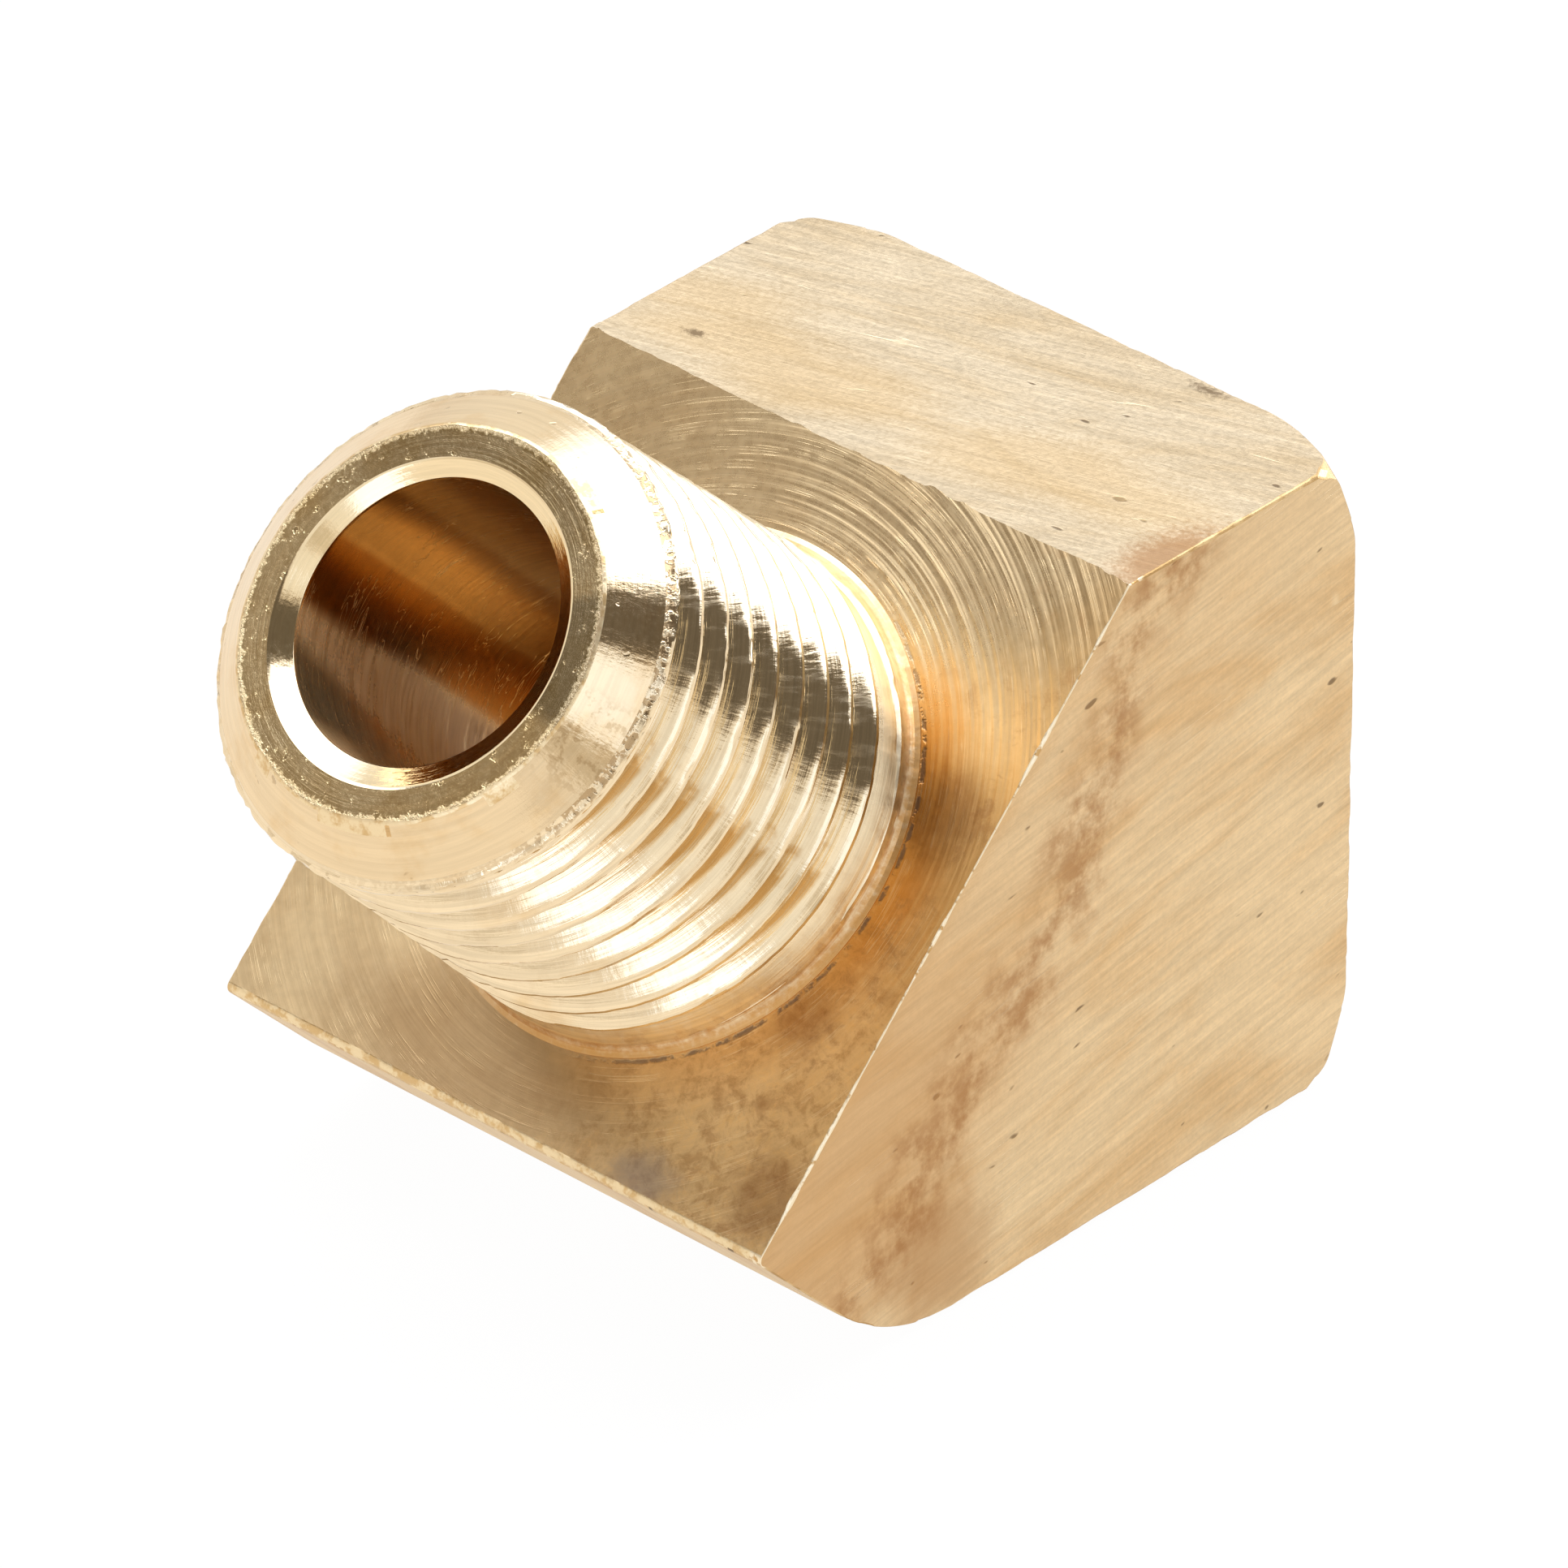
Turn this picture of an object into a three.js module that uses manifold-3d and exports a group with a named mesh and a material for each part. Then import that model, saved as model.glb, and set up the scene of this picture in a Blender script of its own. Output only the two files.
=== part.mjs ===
// 45 degree elbow for flared tube, cut from square brass bar, with a loose flare seat.
//
// Millimetres. +X along the bar's width, +Y out of the threaded port, +Z up.
// The nipple points up towards -Y. The origin lies on the base face, straight below
// the elbow centre, where the port's axis meets the nipple's axis. The parts are
// modelled about the elbow centre, and the group lifts them onto the base.
import * as THREE from 'three';
import { mergeVertices } from 'three/addons/utils/BufferGeometryUtils.js';
import Module from 'manifold-3d';

const wasm = await Module();
wasm.setup();

// ---------------------------------------------------------------- dimensions
// _R is a radius, _L a length, _H a height, _A an angle.
const BAR = 14.29;              // 9/16 in square bar
const HALF = BAR / 2;
const BEND = Math.PI / 4;       // angle between the base and the nipple's axis
const SHOULDER_L = 14.9;        // slope length of the face that carries the nipple
const TOE_L = BAR / Math.sin(BEND) - SHOULDER_L; // short face under the nipple
const TOP_L = 6.68;             // flat on top, shoulder edge to port face
const HEEL_R = 4.9;             // rounded corner between toe face and base
const TOE_R = 0.35;             // broken edge between shoulder and toe face

const SHOULDER_D = TOE_L / 2;   // elbow centre to shoulder face, along the nipple
const TOP_Y = Math.cos(BEND) * (SHOULDER_L / 2 - SHOULDER_D); // shoulder's top edge
const PORT_Y = TOP_Y + TOP_L;   // port face

const PORT_CONE_R = 8.9;        // the turned chamfer starts at this radius
const PORT_CONE_A = THREE.MathUtils.degToRad(31);
const PORT_TIP_R = 9.85;        // the four corner tips are turned steeper from here
const PORT_TIP_A = THREE.MathUtils.degToRad(66.7);

const NIPPLE_L = 9.9;           // shoulder to nose
const NIPPLE_EMBED = 1.2;       // how far the nipple reaches into the block
const NIPPLE_TIP = SHOULDER_D + NIPPLE_L;
const BORE_R = 2.91;
const BORE_START = -2.6;        // point of the bore's conical end
const BORE_FULL = -0.9;         // full bore radius from here
const MOUTH_R = 3.33;           // countersunk mouth of the bore
const MOUTH_D = 0.30;
const NOSE_R = 4.02;            // outer edge of the flat nose
const LEAD_R = 5.03;            // thread crest at the end of the nose chamfer
const LEAD_D = 1.0;             // depth of that chamfer
const RING_R = 5.50;            // ring left at the nipple's root
const RING_H = 0.22;
const RING_WALL_H = 0.4 * RING_H; // straight part of the ring's side
const WASHOUT_START = 0.70;     // thread grooves are filled up to here
const WASHOUT_END = 1.70;       // full thread depth from here

// 1/8-27 taper thread
const PIPE_PITCH = 25.4 / 27;
const PIPE_DEPTH = 0.66;
const PIPE_CREST = 0.13;
const PIPE_ROOT = 0.05;
const PIPE_TAPER = 1 / 32;      // on radius

// 7/16-24 straight thread
const PORT_PITCH = 25.4 / 24;
const PORT_MAJOR_R = 5.556;
const PORT_MINOR_R = 4.985;
const PORT_GROOVE_FLAT = 0.14;  // flat at the bottom of the cut groove
const PORT_LAND = 0.28;         // flat left between grooves
const PORT_THREAD_L = 6.1;
const PORT_RUNOUT = 0.75;       // length over which the inner end of the thread fades
const PORT_DEPTH = 7.4;
const PORT_MOUTH_R = 5.90;
const PASSAGE_R = 3.20;
const PASSAGE_START = -2.1;     // point of the passage's conical end
const PASSAGE_FULL = -0.2;      // full passage radius from here
const FLOOR_Y = PORT_Y - PORT_DEPTH;

const SEAT_HOLE_R = 2.25;
const SEAT_TIP_R = 2.50;
const SEAT_HEAD_R = 3.80;
const SEAT_RIM_H = 0.45;
const SEAT_STEM_R = 2.90;
const SEAT_STEM_L = 1.5;
const SEAT_GAP = 0.02;          // between the port's floor and the seat's head

const OVERCUT = 1;              // how far cutters run past an open face
const OVERLAP = 0.02;           // keeps surfaces that nearly meet from coinciding
const SEGMENTS = 36;
const PORT_FACE_SEGMENTS = 96;

// ------------------------------------------------------------------- helpers
const toSolid = (geometry) => {
  geometry.deleteAttribute('normal');
  geometry.deleteAttribute('uv');
  const merged = mergeVertices(geometry, 1e-5);
  return new wasm.Manifold(new wasm.Mesh({
    numProp: 3,
    vertProperties: new Float32Array(merged.attributes.position.array),
    triVerts: new Uint32Array(merged.index.array),
  }));
};

const toGeometry = (solid) => {
  const mesh = solid.getMesh();
  const positions = new Float32Array(mesh.vertProperties);
  const geometry = new THREE.BufferGeometry();
  geometry.setAttribute('position', new THREE.BufferAttribute(positions, 3));
  geometry.setIndex(new THREE.BufferAttribute(new Uint32Array(mesh.triVerts), 1));
  geometry.computeVertexNormals();
  return geometry;
};

// Solid of revolution about Y. Profile: [radius, y], outside listed with y rising,
// either on the axis at both ends or a closed loop.
const turned = (profile, segments = SEGMENTS) => toSolid(
  new THREE.LatheGeometry(profile.map(([r, y]) => new THREE.Vector2(r, y)), segments),
);

// Points of the arc that rounds a corner of a convex, counterclockwise polygon.
const roundCorner = (corner, before, after, radius) => {
  const toBefore = before.clone().sub(corner).normalize();
  const toAfter = after.clone().sub(corner).normalize();
  const turn = Math.PI - Math.acos(toBefore.dot(toAfter));
  const centre = toBefore.clone().add(toAfter).normalize()
    .multiplyScalar(radius / Math.cos(turn / 2)).add(corner);
  const start = corner.clone().addScaledVector(toBefore, radius * Math.tan(turn / 2));
  const steps = radius > 1 ? 10 : 3;
  return Array.from({ length: steps + 1 }, (_, step) => (
    start.clone().rotateAround(centre, turn * step / steps)
  ));
};

// Shape from polygon corners [x, y, corner radius].
const roundedShape = (corners) => {
  const count = corners.length;
  const points = corners.map(([x, y]) => new THREE.Vector2(x, y));
  return new THREE.Shape(points.flatMap((point, i) => {
    const radius = corners[i][2];
    if (radius === 0) return [point];
    return roundCorner(point, points[(i + count - 1) % count], points[(i + 1) % count], radius);
  }));
};

// Solid right-hand screw about Y that covers start to end, with flat crests and roots.
// crestRadius(y) gives the crest radius, depth the thread's height.
const screw = ({ start, end, pitch, depth, crest, root, crestRadius }) => {
  const flank = (pitch - crest - root) / 2;
  // One pitch of the thread: [distance along Y, drop below the crest]
  const stations = [
    [0, 0], [crest, 0], [crest + flank, depth], [crest + flank + root, depth],
  ];
  const perTurn = stations.length;
  const turns = Math.ceil((end - start) / pitch) + 1;
  const rows = turns * perTurn;
  const bottom = start - pitch;
  const positions = [];
  for (let i = 0; i < SEGMENTS; i += 1) {
    // Turning from +Z towards +X about +Y is the right-hand sense.
    const angle = 2 * Math.PI * i / SEGMENTS;
    for (let j = 0; j <= rows; j += 1) {
      const [along, drop] = stations[j % perTurn];
      const y = bottom + (Math.floor(j / perTurn) + i / SEGMENTS) * pitch + along;
      const r = crestRadius(y) - drop;
      positions.push(r * Math.sin(angle), y, r * Math.cos(angle));
    }
  }
  const bottomCentre = positions.length / 3;
  const topCentre = bottomCentre + 1;
  positions.push(0, bottom, 0, 0, start + turns * pitch, 0);

  // The last column joins the first one a pitch higher up.
  const last = SEGMENTS - 1;
  const at = (i, j) => i * (rows + 1) + j;
  const nextTo = (i, j) => (i === last ? at(0, j + perTurn) : at(i + 1, j));
  const index = [];
  for (let i = 0; i < SEGMENTS; i += 1) {
    const height = i === last ? rows - perTurn : rows;
    for (let j = 0; j < height; j += 1) {
      index.push(at(i, j), nextTo(i, j), nextTo(i, j + 1));
      index.push(at(i, j), nextTo(i, j + 1), at(i, j + 1));
    }
  }

  // Each end's rim runs once round, then down a one-pitch step: in the first
  // column at the bottom, in the last column at the top.
  const bottomRim = [];
  const topRim = [];
  for (let i = 0; i < SEGMENTS; i += 1) {
    bottomRim.push(at(i, 0));
    topRim.push(at(i, rows));
  }
  for (let j = perTurn; j > 0; j -= 1) bottomRim.push(at(0, j));
  for (let j = 1; j <= perTurn; j += 1) topRim.push(at(last, rows - j));
  const after = (rim, i) => rim[(i + 1) % rim.length];
  bottomRim.forEach((vertex, i) => index.push(bottomCentre, after(bottomRim, i), vertex));
  topRim.forEach((vertex, i) => index.push(topCentre, vertex, after(topRim, i)));

  const geometry = new THREE.BufferGeometry();
  geometry.setAttribute('position', new THREE.Float32BufferAttribute(positions, 3));
  geometry.setIndex(index);
  return toSolid(geometry);
};

// ------------------------------------------------------------------ the block
const makeBlock = () => {
  // Side view of the bar: [y, z, corner radius]
  const corners = [
    [TOP_Y, HALF, 0],
    [-HALF, -TOP_Y, TOE_R],
    [-TOP_Y, -HALF, HEEL_R],
    [PORT_Y + OVERCUT, -HALF, 0],
    [PORT_Y + OVERCUT, HALF, 0],
  ];
  const bar = new THREE.ExtrudeGeometry(
    roundedShape(corners),
    { depth: BAR, bevelEnabled: false, steps: 1 },
  );
  // Shape x, y and extrusion become Y, Z and X.
  bar.applyMatrix4(new THREE.Matrix4().makeBasis(
    new THREE.Vector3(0, 1, 0),
    new THREE.Vector3(0, 0, 1),
    new THREE.Vector3(1, 0, 0),
  ));
  bar.translate(-HALF, 0, 0);

  // The port end is faced and chamfered by turning, so only the corners are cut.
  const clearR = 20;
  const clearY = -30;
  const tipY = PORT_Y - (PORT_TIP_R - PORT_CONE_R) * Math.tan(PORT_CONE_A);
  const portTurning = turned([
    [0, clearY],
    [clearR, clearY],
    [clearR, tipY - (clearR - PORT_TIP_R) * Math.tan(PORT_TIP_A)],
    [PORT_TIP_R, tipY],
    [PORT_CONE_R, PORT_Y],
    [0, PORT_Y],
  ], PORT_FACE_SEGMENTS);
  return toSolid(bar).intersect(portTurning);
};

// ----------------------------------------------------------------- the nipple
// Local Y is the nipple's axis, 0 at the elbow centre.
const placeNipple = (solid) => (
  solid.transform(new THREE.Matrix4().makeRotationX(Math.PI - BEND).toArray())
);

const makeNipple = () => {
  const crestRadius = (y) => LEAD_R + (NIPPLE_TIP - LEAD_D - y) * PIPE_TAPER;
  const bottom = SHOULDER_D - NIPPLE_EMBED;

  // Envelope: the nose chamfer is carried on past the thread, then opens at 45 degrees.
  const clearR = 7;
  const chamferR = LEAD_R + 0.4;
  const chamferY = NIPPLE_TIP - (chamferR - NOSE_R) * LEAD_D / (LEAD_R - NOSE_R);
  const envelope = turned([
    [0, bottom],
    [clearR, bottom],
    [clearR, chamferY - (clearR - chamferR)],
    [chamferR, chamferY],
    [NOSE_R, NIPPLE_TIP],
    [0, NIPPLE_TIP],
  ]);

  // Root: the ring, then a core that fills the first grooves and fades out.
  const washoutStart = SHOULDER_D + WASHOUT_START;
  const washoutEnd = SHOULDER_D + WASHOUT_END;
  const rootCore = turned([
    [0, bottom],
    [RING_R, bottom],
    [RING_R, SHOULDER_D + RING_WALL_H],
    [crestRadius(SHOULDER_D) + OVERLAP, SHOULDER_D + RING_H],
    [crestRadius(washoutStart), washoutStart],
    [crestRadius(washoutEnd) - PIPE_DEPTH - OVERLAP, washoutEnd],
    [0, washoutEnd],
  ]);

  const thread = screw({
    start: SHOULDER_D,
    end: NIPPLE_TIP,
    pitch: PIPE_PITCH,
    depth: PIPE_DEPTH,
    crest: PIPE_CREST,
    root: PIPE_ROOT,
    crestRadius,
  });
  return placeNipple(thread.add(rootCore).intersect(envelope));
};

const makeNippleBore = () => {
  const flare = 0.5; // the mouth's cone is carried on by this much radius
  return placeNipple(turned([
    [0, BORE_START],
    [BORE_R, BORE_FULL],
    [BORE_R, NIPPLE_TIP - MOUTH_D],
    [MOUTH_R, NIPPLE_TIP],
    [MOUTH_R + flare, NIPPLE_TIP + MOUTH_D * flare / (MOUTH_R - BORE_R)],
    [0, NIPPLE_TIP + OVERCUT],
  ]));
};

// ------------------------------------------------------------------- the port
const makePortBore = () => turned([
  [0, PASSAGE_START],
  [PASSAGE_R, PASSAGE_FULL],
  [PASSAGE_R, FLOOR_Y],
  [PORT_MINOR_R, FLOOR_Y],
  [PORT_MINOR_R, PORT_Y - (PORT_MOUTH_R - PORT_MINOR_R)],
  [PORT_MOUTH_R + OVERCUT, PORT_Y + OVERCUT],
  [0, PORT_Y + OVERCUT],
]);

// Screw-shaped cutter, tapered at its inner end.
const makePortThread = () => {
  const start = PORT_Y - PORT_THREAD_L;
  const end = PORT_Y + OVERCUT;
  const clearR = PORT_MAJOR_R + 0.2;
  const thread = screw({
    start,
    end,
    pitch: PORT_PITCH,
    depth: PORT_MAJOR_R - PORT_MINOR_R + 0.03, // roots lie just inside the bore's wall
    crest: PORT_GROOVE_FLAT,
    root: PORT_LAND,
    crestRadius: () => PORT_MAJOR_R,
  });
  return thread.intersect(turned([
    [0, start],
    [PORT_MINOR_R - OVERLAP, start],
    [clearR, start + PORT_RUNOUT],
    [clearR, end],
    [0, end],
  ]));
};

// ------------------------------------------------------------- the flare seat
// A turned ring whose stem sits in the passage and whose 45 degree cone takes the flare.
const makeSeat = () => {
  const headY = FLOOR_Y + SEAT_GAP;
  const stemY = headY - SEAT_STEM_L;
  const rimY = headY + SEAT_RIM_H;
  const tipY = rimY + (SEAT_HEAD_R - SEAT_TIP_R);
  return turned([
    [SEAT_HOLE_R, stemY],
    [SEAT_STEM_R, stemY],
    [SEAT_STEM_R, headY],
    [SEAT_HEAD_R, headY],
    [SEAT_HEAD_R, rimY],
    [SEAT_TIP_R, tipY],
    [SEAT_HOLE_R, tipY],
    [SEAT_HOLE_R, stemY],
  ]);
};

// ---------------------------------------------------------------- scene graph
const makeBody = () => makeBlock()
  .add(makeNipple())
  .subtract(makeNippleBore())
  .subtract(makePortBore())
  .subtract(makePortThread());

const brass = ({ color, roughness }) => (
  new THREE.MeshStandardMaterial({ color, roughness, metalness: 1.0 })
);

const makeMesh = (name, solid, material) => {
  const mesh = new THREE.Mesh(toGeometry(solid), material);
  mesh.name = name;
  return mesh;
};

const elbow = new THREE.Group();
elbow.name = 'flare_elbow_45';
elbow.add(
  makeMesh('elbow_body', makeBody(), brass({ color: 0xd8b98a, roughness: 0.38 })),
  makeMesh('flare_seat', makeSeat(), brass({ color: 0xcfa765, roughness: 0.28 })),
);
elbow.position.set(0, 0, HALF);
elbow.updateMatrixWorld(true);

export default elbow;
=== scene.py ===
# A brass elbow fitting cut from square bar. The bar lies along Y with its underside on z = 0.
# Its +Y end has a threaded port with a flare seat. At the other end a sloping shoulder
# carries a pipe-threaded nipple that points to -Y and +Z, 45 degrees up.
import math
from functools import reduce

import bmesh
import bpy
import numpy as np
from mathutils import Matrix, Vector
from mathutils import noise as solid_noise


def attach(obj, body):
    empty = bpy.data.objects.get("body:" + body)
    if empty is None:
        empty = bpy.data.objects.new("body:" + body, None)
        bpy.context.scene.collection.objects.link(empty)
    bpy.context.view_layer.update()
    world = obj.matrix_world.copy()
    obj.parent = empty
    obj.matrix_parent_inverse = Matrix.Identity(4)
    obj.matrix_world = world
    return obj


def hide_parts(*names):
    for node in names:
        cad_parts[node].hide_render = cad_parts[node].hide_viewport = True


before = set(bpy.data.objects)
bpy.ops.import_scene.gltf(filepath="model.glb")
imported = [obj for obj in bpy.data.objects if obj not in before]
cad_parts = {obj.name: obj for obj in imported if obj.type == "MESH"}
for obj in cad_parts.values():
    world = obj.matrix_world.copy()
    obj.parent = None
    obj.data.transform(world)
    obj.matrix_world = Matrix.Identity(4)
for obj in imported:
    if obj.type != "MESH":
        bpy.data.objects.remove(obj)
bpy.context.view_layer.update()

# --------------------------------------------------------------------------
# Dimensions, in millimetres, about the point where the two axes meet
# --------------------------------------------------------------------------
COS45 = math.sqrt(0.5)
BAR = 14.29                                # side of the square bar
HALF = BAR / 2
SHOULDER_L = 14.9                          # length of the shoulder down its slope
TOE_L = BAR / COS45 - SHOULDER_L           # length of the slope from toe to heel
SHOULDER_D = TOE_L / 2                     # shoulder's distance along the nipple axis
TOP_L = 6.68                               # length of the flat top
TOP_Y = COS45 * (SHOULDER_L / 2 - SHOULDER_D)
PORT_Y = TOP_Y + TOP_L                     # end face of the port
HEEL_R = 4.9
TOE_R = 0.18
CONE_R = 8.9                               # port end: flat, then two cones cut the corners
CONE_SLOPE = math.tan(math.radians(31))
CORNER_R = 9.85
CORNER_SLOPE = math.tan(math.radians(66.7))

NIPPLE_L = 9.9
BASE = SHOULDER_D
TIP = BASE + NIPPLE_L
BORE_R = 2.91
BORE_AT = (-0.07, 0.10)                    # the bore's offset from the axis, along X and UPSLOPE
MOUTH_R = 3.33
MOUTH_D = 0.30
NOSE_R = 4.02
LEAD_R = 5.03
LEAD_D = 1.0
PIPE_PITCH = 25.4 / 27
PIPE_DEPTH = 0.66
TAPER = 1 / 32
RING_R = 5.50                              # foot of the nipple

PORT_PITCH = 25.4 / 24
MAJOR = 5.556
MINOR = 4.985
PORT_THREAD_L = 6.1
PORT_DEPTH = 7.4
PORT_MOUTH_R = 5.90
PASSAGE_R = 3.20
FLOOR_Y = PORT_Y - PORT_DEPTH

SEAT_HOLE_R = 2.25
SEAT_TIP_R = 2.50
SEAT_HEAD_R = 3.80
SEAT_RIM = 0.45
SEAT_STEM_R = 2.90
SEAT_STEM_L = 1.5
SEAT_Y = FLOOR_Y + 0.02
SEAT_TOP_Y = SEAT_Y + SEAT_RIM + (SEAT_HEAD_R - SEAT_TIP_R)

X_AXIS = Vector((1, 0, 0))
Y_AXIS = Vector((0, 1, 0))
Z_AXIS = Vector((0, 0, 1))
NIPPLE_AXIS = Vector((0, -COS45, COS45))
UPSLOPE = Vector((0, COS45, COS45))        # up along the shoulder


# --------------------------------------------------------------------------
# Mesh helpers
# --------------------------------------------------------------------------
def new_object(name, verts, faces):
    mesh = bpy.data.meshes.new(name)
    mesh.from_pydata(verts, [], faces)
    mesh.update()
    ob = bpy.data.objects.new(name, mesh)
    bpy.context.scene.collection.objects.link(ob)
    return ob


def apply_modifiers(ob):
    graph = bpy.context.evaluated_depsgraph_get()
    mesh = bpy.data.meshes.new_from_object(ob.evaluated_get(graph))
    ob.modifiers.clear()
    old = ob.data
    ob.data = mesh
    bpy.data.meshes.remove(old)


def boolean(ob, tool, how):
    """Joins, cuts or intersects ob with tool, which is used up."""
    modifier = ob.modifiers.new("b", "BOOLEAN")
    modifier.operation = how
    modifier.solver = "MANIFOLD"
    modifier.object = tool
    apply_modifiers(ob)
    tool_mesh = tool.data
    bpy.data.objects.remove(tool)
    bpy.data.meshes.remove(tool_mesh)
    return ob


def face_outward(ob):
    bm = bmesh.new()
    bm.from_mesh(ob.data)
    bmesh.ops.recalc_face_normals(bm, faces=bm.faces)
    bm.to_mesh(ob.data)
    bm.free()
    return ob


def circle_angles(segments):
    return np.arange(segments) * 2 * math.pi / segments


def circle(radius, y, angle):
    return list(zip(radius * np.sin(angle), np.full(len(angle), y), radius * np.cos(angle)))


def lathe(name, profile, segments=224, wobble=None):
    """Closed solid about local Y. profile: (radius, y), y rising, from axis to axis."""
    angle = circle_angles(segments)
    verts, rings = [], []
    for radius, y in profile:
        start = len(verts)
        if radius == 0:
            verts.append((0.0, y, 0.0))
        else:
            offset = wobble(radius, y, angle) if wobble else 0.0
            verts += circle(radius + offset, y, angle)
        rings.append(range(start, len(verts)))
    faces = []
    for low, high in zip(rings[:-1], rings[1:]):
        for i in range(segments):
            j = (i + 1) % segments
            if len(low) == 1:
                faces.append((low[0], high[j], high[i]))
            elif len(high) == 1:
                faces.append((low[i], low[j], high[0]))
            else:
                faces.append((low[i], low[j], high[j], high[i]))
    return new_object(name, verts, faces)


def rounded(points, radii, steps=4):
    """Rounds the corners of an open profile. radii: one per point, 0 keeps it sharp."""
    out = []
    for i, (point, radius) in enumerate(zip(points, radii)):
        if radius == 0:
            out.append(point)
            continue
        before, corner, after = (np.array(q, float) for q in (points[i - 1], point, points[i + 1]))
        in_len = np.linalg.norm(before - corner)
        out_len = np.linalg.norm(after - corner)
        to_before = (before - corner) / in_len
        to_after = (after - corner) / out_len
        turn = math.pi - math.acos(float(to_before @ to_after))
        back = min(radius * math.tan(turn / 2), 0.45 * in_len, 0.45 * out_len)
        fitted = back / math.tan(turn / 2)
        bisector = (to_before + to_after) / np.linalg.norm(to_before + to_after)
        centre = corner + bisector * fitted / math.cos(turn / 2)
        x, y = corner + to_before * back - centre
        side = 1 if to_before[0] * to_after[1] - to_before[1] * to_after[0] > 0 else -1
        for k in range(steps + 1):
            angle = -side * turn * k / steps
            cos, sin = math.cos(angle), math.sin(angle)
            spot = centre + np.array([x * cos - y * sin, x * sin + y * cos])
            out.append((float(spot[0]), float(spot[1])))
    return out


def rounded_loop(corners):
    """Rounds a closed outline. corners: (point, radius, steps)."""
    out = []
    points = [corner[0] for corner in corners]
    for i, (point, radius, steps) in enumerate(corners):
        after = points[(i + 1) % len(points)]
        out += rounded([points[i - 1], point, after], [0, radius, 0], steps)[1:-1]
    return out


def hash_noise(a, b, seed):
    """Smooth value noise of two coordinates, 0 to 1, fixed by its seed."""
    a = np.asarray(a, float)
    b = np.asarray(b, float)
    cell_a, cell_b = np.floor(a), np.floor(b)
    part_a, part_b = a - cell_a, b - cell_b
    part_a = part_a * part_a * (3 - 2 * part_a)
    part_b = part_b * part_b * (3 - 2 * part_b)

    def corner(i, j):
        value = np.sin(i * 127.1 + j * 311.7 + seed * 74.7) * 43758.5453
        return value - np.floor(value)

    def row(j):
        return corner(cell_a, j) * (1 - part_a) + corner(cell_a + 1, j) * part_a

    return row(cell_b) * (1 - part_b) + row(cell_b + 1) * part_b


def screw(name, low_y, high_y, pitch, stations, radius, segments, rough):
    """Right-hand screw solid about local Y.

    stations: (share of pitch along, drop below the crest)
    radius(y): the crest; rough(y, angle, drop) is added to it
    """
    count = len(stations)
    turns = int(math.ceil((high_y - low_y) / pitch)) + 1
    rows = turns * count
    share, drop = np.array(stations).T
    row = np.arange(rows + 1)
    y = (low_y - pitch + (row // count)[None, :] * pitch + (share[row % count] * pitch)[None, :]
         + (pitch * np.arange(segments) / segments)[:, None])
    drop = np.broadcast_to(drop[row % count][None, :], y.shape)
    angle = np.broadcast_to(circle_angles(segments)[:, None], y.shape)
    out = radius(y) - drop + rough(y, angle, drop)
    verts = np.stack([out * np.sin(angle), y, out * np.cos(angle)], -1).reshape(-1, 3).tolist()
    low = len(verts)
    high = low + 1
    verts += [[0, low_y - pitch, 0], [0, low_y + turns * pitch, 0]]
    width = rows + 1
    faces = []
    for i in range(segments - 1):
        a, b = i * width, (i + 1) * width
        faces += [(a + q, b + q, b + q + 1, a + q + 1) for q in range(rows)]
    # the last column meets the first one turn further on
    last = (segments - 1) * width
    faces += [(last + q, q + count, q + count + 1, last + q + 1) for q in range(rows - count)]
    floor = [i * width for i in range(segments)] + list(range(count, 0, -1))
    faces += [(low, floor[(i + 1) % len(floor)], v) for i, v in enumerate(floor)]
    roof = [i * width + rows for i in range(segments)]
    roof += [last + q for q in range(rows - 1, rows - count - 1, -1)]
    faces += [(high, v, roof[(i + 1) % len(roof)]) for i, v in enumerate(roof)]
    return new_object(name, verts, faces)


def tilt(ob):
    """Turns local Y onto the nipple's axis; local Z then points down the slope."""
    ob.data.transform(Matrix.Rotation(math.radians(135), 4, "X"))
    return ob


# --------------------------------------------------------------------------
# The bar: profile, turned port end, worn edges
# --------------------------------------------------------------------------
BLOCK_PLANES = [  # outward normal, distance from the origin
    (X_AXIS, HALF), (-X_AXIS, HALF), (Z_AXIS, HALF), (-Z_AXIS, HALF),
    (NIPPLE_AXIS, SHOULDER_D), (-UPSLOPE, (HALF + TOP_Y) * COS45), (Y_AXIS, PORT_Y),
]


def make_prism():
    top, toe, heel = (TOP_Y, HALF), (-HALF, -TOP_Y), (-TOP_Y, -HALF)
    end_y = PORT_Y + 1
    outline = [top] + rounded([top, toe, heel], [0, TOE_R, 0], 6)[1:-1]
    outline += rounded([toe, heel, (end_y, -HALF)], [0, HEEL_R, 0], 36)[1:-1]
    outline += [(end_y, -HALF), (end_y, HALF)]
    count = len(outline)
    verts = [(x, y, z) for x in (-HALF, HALF) for y, z in outline]
    faces = [tuple(range(count))[::-1], tuple(range(count, 2 * count))]
    for i in range(count):
        j = (i + 1) % count
        faces.append((i, j, count + j, count + i))
    return face_outward(new_object("block", verts, faces))


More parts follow.
